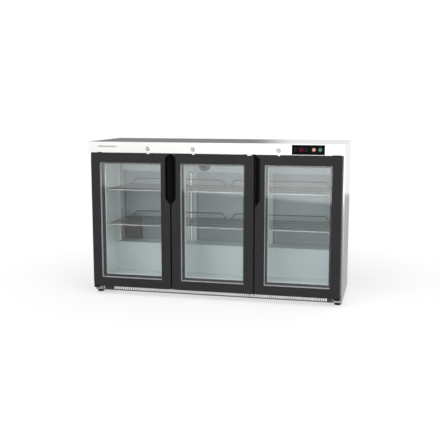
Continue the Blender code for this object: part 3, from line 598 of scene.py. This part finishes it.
def perforated_strip(name, x, face, spans):
    """A strip with a row of slots over the upright's channel, and a liner in the channel that glows as
    painted light.
    """
    half, half_slot, half_liner = 0.0105, 0.0065, 0.0067
    pitch, slot_height = 0.013, 0.0074
    xs = (x - half, x - half_slot, x + half_slot, x + half)
    ys = (face - 0.0014, face - 0.0002)
    ladder, liner = bmesh.new(), bmesh.new()
    for start, end in spans:
        zs = [start]
        z = start + 0.003
        while z + slot_height < end - 0.002:
            zs += [z, z + slot_height]
            z += pitch
        zs.append(end)
        fill_cells(ladder, xs, ys, zs, lambda i, j, k: i != 1 or k % 2 == 0)
        bar(liner, (x - half_liner, face + 0.0004, start), (x + half_liner, face + 0.0012, end), 0.0001)
    add_piece(name, ladder, STRIP_BROWN)
    # The liner behind the slots glows: painted light.
    add_piece(f"{name}_back", liner, GLOWING_STRIP)


def make_shelf(level, side):
    """Round-wire shelf: bent rim, rods under it, close wires front to back and a back rail."""
    node = f"shelf_{level}_{side}"
    low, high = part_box(node)
    rim, rod, wire, rail_radius = 0.0026, 0.0022, 0.0016, 0.0029
    rise, bend, wire_gaps = 0.035, 0.012, 35
    top = high.z - rise
    z = top - rim
    x0, x1, y0, y1 = low.x + rim, high.x - rim, low.y + rim, high.y - rim
    front_corners, back_corners = [(x0, y0, z), (x1, y0, z)], [(x1, y1, z), (x0, y1, z)]
    left_joint, right_joint = (x0, y0 + 0.014, z), (x1, y0 + 0.014, z)
    ahead = [left_joint, *front_corners, right_joint]
    bm = tube(bmesh.new(), bent_path(ahead, bend, 4), rim, 10)
    add_piece(f"{node}_front_rim", bm, RIM_STEEL, smooth=50)
    around = [right_joint, *back_corners, left_joint]
    bm = tube(bmesh.new(), bent_path(around, bend, 4), rim - 0.0002, 10)
    for share in (0.25, 0.5, 0.75):
        y = y0 + (y1 - y0) * share
        tube(bm, [(x0, y, z - 0.0003), (x1, y, z - 0.0003)], rod, 8)
    for i in range(1, wire_gaps):
        x = x0 + (x1 - x0) * i / wire_gaps
        tube(bm, [(x, y0, top - wire), (x, y1, top - wire)], wire, 6)
    near_wall, near_middle, slope = 0.029, 0.007, 0.026
    insets = (near_wall, near_middle) if side == "left" else (near_middle, near_wall)
    start, end = x0 + insets[0], x1 - insets[1]
    y, peak = high.y - 0.0030, high.z - rim
    rail = [(start, y, z), (start + slope, y, peak), (end - slope, y, peak), (end, y, z)]
    tube(bm, bent_path(rail, 0.016, 4), rail_radius, 10)
    add_piece(f"{node}_wires", bm, SHELF_STEEL, replaces=(node,), smooth=50)


def make_shelves():
    for level in ("lower", "upper"):
        for side in ("left", "right"):
            make_shelf(level, side)


def make_feet():
    """Round plastic pads on threaded studs."""
    thread, root, pitch = 0.0050, 0.0042, 0.0012
    for node in ("foot_front_left", "foot_front_right", "foot_rear_left", "foot_rear_right"):
        center, top = middle(node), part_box(node)[1].z
        center.z = 0
        profile = [(0, 0), (0.0172, 0), (0.0186, 0.0008), (0.0190, 0.0022), (0.0190, 0.0058)]
        profile += [(0.0184, 0.0072), (0.0166, 0.0086), (0.0104, 0.0092), (0.0100, 0.0126)]
        profile += [(thread, 0.0126)]
        z = 0.0130
        while z < top - 0.002:
            profile += [(thread, z), (root, z + pitch / 2)]
            z += pitch
        profile += [(0, top - 0.001)]
        bm = turned(profile, center, "Z", 36)
        add_piece(f"{node}_pad", bm, DEEP_BLACK, replaces=(node,))


def make_light():
    """Lamp cover with rounded edges, held by a dark cap at each end."""
    low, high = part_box("interior_light")
    tuck, cap, proud = 0.004, 0.010, 0.0008
    bm = block((low.x + tuck, low.y, low.z), (high.x - tuck, high.y, high.z), 0.004, 4)
    add_piece("light_diffuser", bm, LIGHT_COVER, replaces=("interior_light",))
    bm = bmesh.new()
    for x in (low.x, high.x - cap):
        bar(bm, (x, low.y - proud, low.z - proud), (x + cap, high.y + proud, high.z), 0.0015, 2)
    add_piece("light_end_caps", bm, DEEP_BLACK)


# Cooling -----------------------------------------------------


def fan_guard(name, center, radius, y, rings):
    """Wire guard of rings on four spokes."""
    bm = bmesh.new()

    def spot(r, angle):
        return (center.x + r * cos(angle), y, center.z + r * sin(angle))

    for i in range(1, rings + 1):
        r = radius * i / rings
        tube(bm, [spot(r, 2 * pi * a / 36) for a in range(36)], 0.0011, 6, True)
    for i in range(4):
        angle = pi / 4 + i * pi / 2
        tube(bm, [spot(r, angle) for r in (radius / rings, radius + 0.003)], 0.0013, 6)
    add_piece(name, bm, DEEP_BLACK)


def make_fan(node, hub, radius, blades=5):
    """Hub with swept, twisted blades, which turns with the body of the same name."""
    low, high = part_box(node)
    center = middle(node)
    depth = high.y - low.y
    half = depth * 0.42
    profile = [(0, -half * 1.1), (hub * 0.75, -half * 1.1), (hub * 0.95, -half * 0.8)]
    profile += [(hub, -half * 0.5), (hub, half), (0, half)]
    bm = turned(profile, center, "Y", 28)
    root, steps, across = hub * 0.85, 6, 7
    chord, taper, sweep, pitch, camber = 0.95, 0.15, 0.30, depth * 0.72, 0.0012
    for b in range(blades):
        start = 2 * pi * b / blades
        rows = []
        for i in range(steps + 1):
            out = i / steps
            r = root + (radius - root) * out
            row = []
            for j in range(across + 1):
                share = j / across - 0.5
                angle = start + share * (chord - taper * out) + sweep * out
                y = center.y + share * pitch + camber * cos(share * pi)
                row.append((r * cos(angle), y, r * sin(angle)))
            rows.append(row)
        blade_faces(bm, rows, center)
    add_piece(f"{node}_blades", bm, DEEP_BLACK, node, (node,), smooth=40)


def blade_faces(bm, rows, center, thick=0.0014):
    """A thin closed blade from rows of points on its middle surface."""
    layers = []
    for offset in (-thick / 2, thick / 2):
        grid = []
        for row in rows:
            grid.append([bm.verts.new((center.x + x, y + offset, center.z + z)) for x, y, z in row])
        layers.append(grid)
    front, back = layers
    n, m = len(rows) - 1, len(rows[0]) - 1
    for i in range(n):
        for j in range(m):
            bm.faces.new((front[i][j], front[i][j + 1], front[i + 1][j + 1], front[i + 1][j]))
            bm.faces.new((back[i][j], back[i + 1][j], back[i + 1][j + 1], back[i][j + 1]))
    rim = [(0, j) for j in range(m)] + [(i, m) for i in range(n)]
    rim += [(n, j) for j in range(m, 0, -1)] + [(i, 0) for i in range(n, 0, -1)]
    for (i, j), (p, q) in zip(rim, rim[1:] + rim[:1]):
        bm.faces.new((front[i][j], back[i][j], back[p][q], front[p][q]))


def make_cooling():
    make_fan("evaporator_fan", 0.012, 0.0335)
    make_fan("condenser_fan", 0.020, 0.0610)
    make_evaporator_mouth()
    guard_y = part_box("condenser_fan")[1].y + 0.004
    fan_guard("condenser_fan_guard", middle("condenser_fan"), 0.064, guard_y, 7)
    soft_copy("return_grille_louvres", "return_air_grille", LOUVRE, 0.0006)
    make_coil("evaporator", 3, 64)
    make_coil("condenser", 4, 48)
    make_compressor()
    make_discharge_pipe()


def make_evaporator_mouth():
    """Guard, ring and shroud round the fan opening of the evaporator cover."""
    cover_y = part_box("evaporator_cover")[0].y
    center = middle("evaporator_fan")
    fan_guard("evaporator_fan_guard", center, 0.038, cover_y - 0.0030, 6)
    center.y = 0
    inner, front, back = 0.0372, cover_y - 0.0010, cover_y - 0.0002
    ring = [(inner, front), (0.0400, front), (0.0404, back), (inner, back)]
    bm = turned(ring, center, "Y", 48)
    add_piece("evaporator_fan_ring", bm, DEEP_BLACK)
    start, end, bore, outer = cover_y + 0.0012, cover_y + 0.034, 0.0375, 0.0385
    floor = end - 0.001
    shroud = [(0, floor), (bore, floor), (bore, start), (outer, start), (outer, end), (0, end)]
    bm = turned(shroud, center, "Y", 40)
    add_piece("evaporator_fan_shroud", bm, DEEP_BLACK)


def make_coil(node, rows, fins):
    """Thin fins on rows of pipe joined by bends at both ends."""
    low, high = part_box(node)
    inset, half_fin, edge, plate = 0.012, 0.0003, 0.001, 0.0015
    bm = bmesh.new()
    for i in range(fins):
        x = low.x + inset + (high.x - low.x - 2 * inset) * i / (fins - 1)
        corner = (x - half_fin, low.y + edge, low.z + edge)
        bar(bm, corner, (x + half_fin, high.y - edge, high.z - edge))
    for z in (low.z, high.z - plate):
        bar(bm, (low.x + inset, low.y, z), (high.x - inset, high.y, z + plate))
    add_piece(f"{node}_coil_fins", bm, ALUMINIUM, replaces=(node,))
    path = []
    y = (low.y + high.y) / 2
    for r in range(rows):
        z = low.z + (high.z - low.z) * (r + 0.5) / rows
        ends = [(low.x + 0.006, y, z), (high.x - 0.006, y, z)]
        path += ends if r % 2 == 0 else ends[::-1]
    bm = tube(bmesh.new(), bent_path(path, 0.008, 5), 0.0035, 10)
    add_piece(f"{node}_coil_pipe", bm, COPPER, smooth=60)


def make_compressor():
    """Welded pot with a seam, on a plate with four feet, and a terminal box at its side."""
    low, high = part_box("compressor")
    center = middle("compressor")
    center.z = low.z
    r, h = 0.0600, high.z - low.z
    seam, dome = h * 0.52, 0.030
    profile = [(0, 0.012), (r * 0.70, 0.012)]
    for i in range(5):
        a = pi / 2 * i / 4
        profile.append((r * (0.80 + 0.19 * sin(a)), 0.030 - 0.018 * cos(a)))
    profile += [(r * 0.99, seam - 0.004), (r, seam - 0.002), (r, seam + 0.002), (r * 0.97, seam + 0.004)]
    for i in range(8):
        a = pi / 2 * i / 7
        radius = r * 0.97 * cos(a) ** 0.7 if i < 7 else 0
        profile.append((radius, seam + dome + (h - seam - dome) * sin(a)))
    bm = turned(profile, center, "Z", 48)
    for sx in (-1, 1):
        for sy in (-1, 1):
            foot = center + Vector((sx * 0.070, sy * 0.034, 0))
            turned([(0, 0), (0.008, 0), (0.008, 0.006), (0.006, 0.012), (0, 0.012)], foot, "Z", 16, bm)
    plate = Vector((0.085, 0.045, 0.014))
    bar(bm, center + Vector((-plate.x, -plate.y, 0.0115)), center + plate, 0.0008)
    terminal = center + Vector((r * 0.80, -0.020, 0.050))
    bar(bm, terminal, terminal + Vector((0.030, 0.040, 0.050)), 0.004, 3)
    add_piece("compressor_pot", bm, COMPRESSOR, replaces=("compressor",))


def make_discharge_pipe():
    """Copper pipe from the compressor to the condenser."""
    pot_x, y, pot_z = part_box("compressor")[0].x, middle("compressor").y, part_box("compressor")[0].z
    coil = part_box("condenser")[1]
    start, turn, across = pot_x + 0.032, pot_x - 0.018, coil.x + 0.030
    z, run_z, coil_z, back = pot_z + 0.110, 0.190, coil.z - 0.022, y + 0.030
    path = [(start, y, z), (turn, y, z), (turn, back, z), (turn, back, run_z), (across, back, run_z)]
    path += [(across, y, run_z), (across, y, coil_z), (coil.x - 0.004, y, coil_z)]
    bm = tube(bmesh.new(), bent_path(path, 0.010, 5), 0.0032, 10)
    add_piece("discharge_pipe", bm, COPPER, smooth=60)


def make_rear():
    """Rear cover with a row of screws at its top and bottom, and the pins of the power inlet."""
    soft_copy("rear_cover_sheet", "rear_service_grille", ZINC, 0.0003)
    low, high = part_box("rear_service_grille")
    columns, inset_x, inset_z = 6, 0.016, 0.008
    bm = bmesh.new()
    for i in range(columns):
        x = low.x + inset_x + (high.x - low.x - 2 * inset_x) * i / (columns - 1)
        for z in (low.z + inset_z, high.z - inset_z):
            screw_head(bm, Vector((x, high.y - 0.0001, z)), 0.0042, 0.0022)
    add_piece("rear_cover_screws", bm, ZINC)
    soft_copy("inlet_body", "power_inlet", DEEP_BLACK, 0.0005)
    spot = middle("power_inlet")
    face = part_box("power_inlet")[1].y
    bm = bmesh.new()
    for dx, dz in ((-0.007, -0.002), (0.007, -0.002), (0, 0.003)):
        x, z = spot.x + dx, spot.z + dz
        bar(bm, (x - 0.001, face - 0.0118, z - 0.002), (x + 0.001, face - 0.002, z + 0.002), 0.0003)
    add_piece("inlet_pins", bm, CHROME)


def screw_head(bm, spot, radius, height):
    """Domed screw head facing back."""
    profile = [(0, 0), (radius, 0), (radius, height * 0.35), (radius * 0.80, height * 0.80)]
    profile += [(radius * 0.45, height), (0, height)]
    turned(profile, spot, "Y", 18, bm)


# Controls ----------------------------------------------------


def make_controls():
    """Black plate in a thin surround, with the controller and two lit round buttons."""
    soft_copy("control_plate_shell", "control_plate", PLATE_BLACK, 0.0005, 2)
    low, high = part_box("control_plate")
    gap, side, below, above = 0.0001, 0.0011, 0.0037, 0.0020
    xs = (low.x - side, low.x - gap, high.x + gap, high.x + side)
    zs = (low.z - below, low.z - gap, high.z + gap, high.z + above)
    ys = (low.y + 0.0004, high.y + 0.0002)
    bm = bmesh.new()
    fill_cells(bm, xs, ys, zs, lambda i, j, k: not (i == 1 and k == 1))
    add_piece("control_plate_surround", bm, PLATE_BLACK)
    make_controller()
    make_button("light_button", "light_switch", ORANGE)
    make_button("power_button", "power_switch", GREEN)


def make_button(node, body, mat):
    """A lens with a shallow dished rim, in a collar that stays on the plate."""
    low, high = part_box(node)
    center = Vector(((low.x + high.x) / 2, low.y, (low.z + high.z) / 2))
    r, back = 0.0098, high.y - low.y
    lens = [(0, 0), (r * 0.40, 0.0001), (r * 0.62, 0.0003), (r * 0.68, 0.0007), (r * 0.74, 0.0004)]
    lens += [(r * 0.90, 0.0008), (r, 0.0019), (r, back - 0.001), (r * 0.90, back), (0, back)]
    bm = turned(lens, center, "Y", 44)
    add_piece(f"{node}_lens", bm, mat, body, (node,))
    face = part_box("control_plate")[0].y
    inner, outer, front, back = r + 0.0008, r + 0.0029, face - 0.0008, face + 0.0004
    ring = [(inner, face - 0.0002), (r + 0.0012, front), (r + 0.0024, front)]
    ring += [(outer, face - 0.0003), (outer, back), (inner, back)]
    center.y = 0
    bm = turned(ring, center, "Y", 44)
    add_piece(f"{node}_collar", bm, DEEP_BLACK)


def make_controller():
    """Case with a raised bezel, a red display window with two digits, and four keys each side."""
    low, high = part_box("controller")
    x0, x1, z0, z1, front = low.x, high.x, low.z, high.z, low.y
    back = front + 0.0010
    profile = [(0, front + 0.0006), (0.0006, front), (0.0048, front), (0.0056, front + 0.0007)]
    profile += [(0.0056, back), (0.0, back)]
    bm = ring_sweep((x0, x1, z0, z1), profile)
    inset = 0.0050
    bar(bm, (x0 + inset, front + 0.0006, z0 + inset), (x1 - inset, back, z1 - inset))
    body_x, body_z = 0.0042, 0.0037
    bar(bm, (x0 + body_x, back, z0 + body_z), (x1 - body_x, high.y - 0.001, z1 - body_z), 0.0008)
    add_piece("controller_case", bm, PANEL_BLACK, replaces=("controller",))
    center_x, center_z = (x0 + x1) / 2, (z0 + z1) / 2
    margin = 0.0058
    window = (center_x - 0.0105, front + 0.0002, z0 + margin)
    bm = block(window, (center_x + 0.0215, front + 0.0008, z1 - margin), 0.0002, 1)
    add_piece("display_window", bm, DISPLAY)
    bm = bmesh.new()
    for offset, digit in ((-0.0065, "abcdef"), (0.0065, "abcdeg")):
        seven_segments(bm, center_x + offset, center_z, front + 0.0001, digit)
    add_piece("display_digits", bm, DIGITS)
    bm = bmesh.new()
    half_x, half_z = 0.0017, 0.0012
    for dx in (-0.0330, -0.0265, 0.0275, 0.0335):
        for dz in (-0.0065, 0.0065):
            x, z = center_x + dx, center_z + dz
            corner = (x - half_x, front + 0.0001, z - half_z)
            bar(bm, corner, (x + half_x, front + 0.0008, z + half_z), 0.0002)
    add_piece("controller_keys", bm, KEY_GREY)


def seven_segments(bm, x, z, y, lit):
    """The lit bars of one digit, 8 mm wide and 15 mm tall."""
    w, h, t = 0.0038, 0.0072, 0.0009
    bars = {
        "a": ((-w, h), (w, h)),
        "g": ((-w, 0), (w, 0)),
        "d": ((-w, -h), (w, -h)),
        "f": ((-w, 0), (-w, h)),
        "b": ((w, 0), (w, h)),
        "e": ((-w, -h), (-w, 0)),
        "c": ((w, -h), (w, 0)),
    }
    for name in lit:
        (xa, za), (xb, zb) = bars[name]
        across = za == zb
        dx, dz = (-t, t / 2) if across else (t / 2, -t)
        bar(bm, (x + xa - dx, y, z + za - dz), (x + xb + dx, y + 0.0002, z + zb + dz))


# Doors -------------------------------------------------------


def make_glazing(n):
    """Two panes with a spacer and a seal between them, and the frame's inner lining and trim."""
    body = f"door_{n}"
    low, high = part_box(f"door_{n}_glass")
    front, back, cover, thick, gap = low.y, high.y, 0.0115, 0.004, 0.0002
    rect = (low.x + cover, high.x - cover, low.z + cover, high.z - cover)
    for side, y, replaced in (("outer", front, (f"door_{n}_glass",)), ("inner", back - thick, ())):
        bm = block((low.x, y, low.z), (high.x, y + thick, high.z), 0.0006, 1)
        add_piece(f"door_{n}_{side}_pane", bm, PANE, body, replaced)
    y0, y1 = front + thick + gap, back - thick - gap
    mid = (y0 + y1) / 2
    edge, lip, out = 0.0016, 0.0006, -0.0026
    profile = [(out, y0), (edge - lip, y0), (edge, y0 + lip), (edge, mid - 2 * lip)]
    profile += [(edge - lip, mid - lip), (edge - lip, mid + lip), (edge, mid + 2 * lip)]
    profile += [(edge, y1 - lip), (edge - lip, y1), (out, y1)]
    bm = ring_sweep(tucked(rect, 0.0028), profile)
    add_piece(f"door_{n}_spacer", bm, SPACER, body, smooth=25)
    bm = ring_sweep(rect, soft_profile(-0.0112, -0.0057, y0, y1, 0.0008))
    add_piece(f"door_{n}_edge_seal", bm, RUBBER, body)
    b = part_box(f"door_{n}_frame")[1].y
    bm = ring_sweep(rect, soft_profile(0.0101, 0.0113, back + 0.0010, b + 0.0001, 0.0004))
    add_piece(f"door_{n}_inner_profile", bm, INNER_BLACK, body)
    trim = [(0.0022, b + 0.0003), (0.0100, b + 0.0003), (0.0140, b + 0.0003), (0.0144, b + 0.0008)]
    trim += [(0.0144, b + 0.0104), (0.0138, b + 0.0110), (0.0130, b + 0.0110), (0.0124, b + 0.0104)]
    trim += [(0.0124, b + 0.0026), (0.0118, b + 0.0020), (0.0022, b + 0.0020)]
    bm = ring_sweep(tucked(rect, 0.0050), trim)
    add_piece(f"door_{n}_inner_trim", bm, TRIM_LIGHT, body)


def tucked(rect, reach):
    """The rectangle with its right and top edges moved behind the frame."""
    x0, x1, z0, z1 = rect
    return x0, x1 + reach, z0, z1 + reach


def make_gasket(n):
    """Bellows gasket: two folds with a magnet bead between them."""
    low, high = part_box(f"door_{n}_gasket")
    y0, y1 = low.y, high.y
    mid = (y0 + y1) / 2
    profile = [(0.0004, y0), (0.0116, y0), (0.0120, y0 + 0.0005), (0.0112, mid), (0.0120, y1 - 0.0005)]
    profile += [(0.0116, y1), (0.0085, y1), (0.0080, y1 - 0.0006), (0.0040, y1 - 0.0006)]
    profile += [(0.0035, y1), (0.0004, y1), (0.0, y1 - 0.0005), (0.0008, mid), (0.0, y0 + 0.0005)]
    bm = ring_sweep((low.x, high.x, low.z, high.z), profile)
    add_piece(f"door_{n}_bellows", bm, RUBBER, f"door_{n}", (f"door_{n}_gasket",))


def make_door_top(n):
    """Keeper tab under the lock, a rubber stop beside it, and a bright corner bar on door 2."""
    frame_low, frame_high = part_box(f"door_{n}_frame")
    x = middle(f"lock_barrel_{n}").x + 0.002
    half, top, face = 0.0060, frame_high.z, frame_low.y
    front, back, raised = face - 0.0009, face - 0.0002, top + 0.0013
    bm = bmesh.new()
    bar(bm, (x - half, front, top - 0.0036), (x + half, back, raised), 0.0003)
    bar(bm, (x - half, front, top + 0.0004), (x + half, face + 0.0090, raised), 0.0003)
    if n == 2:
        corner = (frame_high.x - 0.038, front, top - 0.0038)
        bar(bm, corner, (frame_high.x - 0.013, back, top - 0.0003), 0.0003)
    add_piece(f"door_{n}_keeper", bm, TRIM_LIGHT, f"door_{n}")
    bm = block((x + 0.015, face + 0.0006, top + 0.0002), (x + 0.039, face + 0.012, raised), 0.0004)
    add_piece(f"door_{n}_stop", bm, RUBBER, f"door_{n}")


def make_hinges(n):
    """Hinge brackets, zinc or black, and black caps under the fascia over the top ones."""
    node = f"door_{n}_top_hinge"
    soft_copy(f"{node}_bracket", node, DEEP_BLACK if n == 3 else ZINC, 0.0004)
    pin_x = middle(node).x
    door_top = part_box(f"door_{n}_frame")[1].z
    front, low = FASCIA_FACE - 0.0016, door_top + 0.0005
    bm = bmesh.new()
    for start, end in HINGE_CAPS[n]:
        corner = (pin_x + start, front, low)
        bar(bm, corner, (pin_x + end, FASCIA_FACE - 0.0003, door_top + 0.0044), 0.0003)
        bar(bm, corner, (pin_x + end, FASCIA_FACE + 0.018, door_top + 0.0014), 0.0003)
    add_piece(f"{node}_caps", bm, RUBBER)
    node = f"door_{n}_bottom_hinge"
    soft_copy(f"{node}_bracket", node, ZINC if n == 2 else DEEP_BLACK, 0.0012, 2)


def make_doors():
    for n in DOORS:
        body = f"door_{n}"
        dress(FRAME_GREY, f"{body}_frame")
        make_glazing(n)
        make_gasket(n)
        soft_copy(f"{body}_grip", f"{body}_handle", GRIP_BLACK, 0.0009, 2, body)
        make_door_top(n)
        make_hinges(n)


# Studio ------------------------------------------------------


def make_world():
    """White studio: bright ahead of the doors, a grey card behind on the left, a grey ground."""
    world = bpy.data.worlds.new("studio")
    bpy.context.scene.world = world
    world.use_nodes = True
    tree = world.node_tree
    ray = make_node(tree, "TexCoord").outputs["Generated"]
    x, y, z = make_node(tree, "SeparateXYZ", {0: ray}).outputs
    card_grey, white, haze, ground_behind = 0.235, 0.88, 0.95, 0.47
    left, right = -0.36, -0.08
    horizon_ahead, horizon_behind, horizon_slope = -0.1345, -0.1105, 0.0775
    behind = smooth_step(tree, y, -0.2, 0.2)
    azimuth = value(tree, "ARCTAN2", x, y)
    card = smooth_step(tree, azimuth, radians(-10.6), radians(-7.4), card_grey, white)
    backdrop = smooth_step(tree, z, 0.000, 0.020, haze, card)
    above = blend_by(tree, behind, smooth_step(tree, x, left, right, *FRONT_LIGHT), backdrop)
    below = smooth_step(tree, x, left, right, *FRONT_GROUND)
    below = blend_by(tree, behind, below, ground_behind)
    horizon = blend_by(tree, behind, horizon_ahead, horizon_behind)
    horizon = value(tree, "SUBTRACT", horizon, value(tree, "MULTIPLY", x, horizon_slope))
    up = smooth_step(tree, value(tree, "SUBTRACT", z, horizon), -0.003, 0.003)
    light = blend_by(tree, up, below, above)
    seen = make_node(tree, "LightPath").outputs["Is Camera Ray"]
    strength = blend_by(tree, seen, light, WHITE_GLOW)
    put(tree, tree.nodes["Background"], {"Color": (1.0, 1.0, 0.995, 1.0), "Strength": strength})


def make_floor():
    """Pale floor that fades into the white backdrop away from the object."""
    size, height = 40.0, -0.0003
    fade = (0.5, 2.2)
    bm = bmesh.new()
    corners = [(-size, -size), (size, -size), (size, size), (-size, size)]
    bm.faces.new([bm.verts.new((x, y, height)) for x, y in corners])
    mesh = bpy.data.meshes.new("studio_floor")
    bm.to_mesh(mesh)
    bm.free()
    floor = bpy.data.objects.new("studio_floor", mesh)
    bpy.context.scene.collection.objects.link(floor)
    mat, tree, shader = new_material("floor_paint")
    place = make_node(tree, "TexCoord").outputs["Object"]
    reach = make_node(tree, "VectorMath", {0: place}, operation="LENGTH").outputs["Value"]
    albedo = smooth_step(tree, reach, *fade, FLOOR_ALBEDO, 0.0)
    shade = make_node(tree, "CombineColor", {0: albedo, 1: albedo, 2: albedo}).outputs[0]
    look = {"Base Color": shade, "Roughness": 0.9, "Specular IOR Level": 0.0}
    look["Emission Color"] = (1.0, 1.0, 1.0, 1.0)
    look["Emission Strength"] = smooth_step(tree, reach, *fade, FLOOR_GLOW, WHITE_GLOW)
    put(tree, shader, look)
    mesh.materials.append(mat)
    floor.visible_glossy = False


def make_lights():
    """A large soft key on the left and a weaker fill on the right, both aimed at the object."""
    aim = Vector((0.0, 0.0, 0.4))
    for name, place, size, power in (
        ("key_softbox", (-1.6, -4.2, 3.4), 2.6, 105),
        ("fill_softbox", (3.2, -3.0, 2.6), 2.2, 55),
    ):
        data = bpy.data.lights.new(name, "AREA")
        data.shape = "RECTANGLE"
        data.size = size
        data.size_y = size * 0.7
        data.energy = power
        lamp = bpy.data.objects.new(name, data)
        lamp.location = place
        lamp.rotation_euler = (aim - Vector(place)).to_track_quat("-Z", "Y").to_euler()
        lamp.visible_glossy = False
        bpy.context.scene.collection.objects.link(lamp)


def make_camera():
    """A camera to the right of the object, looking a little down at it."""
    down, aside = radians(8.71), radians(13.16)
    data = bpy.data.cameras.new("camera")
    data.sensor_width = 36.0
    data.lens = 61.04
    camera = bpy.data.objects.new("camera", data)
    camera.location = (0.981, -4.248, 1.092)
    camera.rotation_euler = (radians(90) - down, 0, aside)
    bpy.context.scene.collection.objects.link(camera)
    bpy.context.scene.camera = camera


bpy.context.scene.view_settings.view_transform = "Standard"
make_camera()
make_world()
make_floor()
make_lights()
make_shell()
make_corner_shade_beads()
make_plinth()
make_nameplate()
make_locks()
make_uprights()
make_shelves()
make_feet()
make_light()
make_cooling()
make_rear()
make_controls()
make_doors()
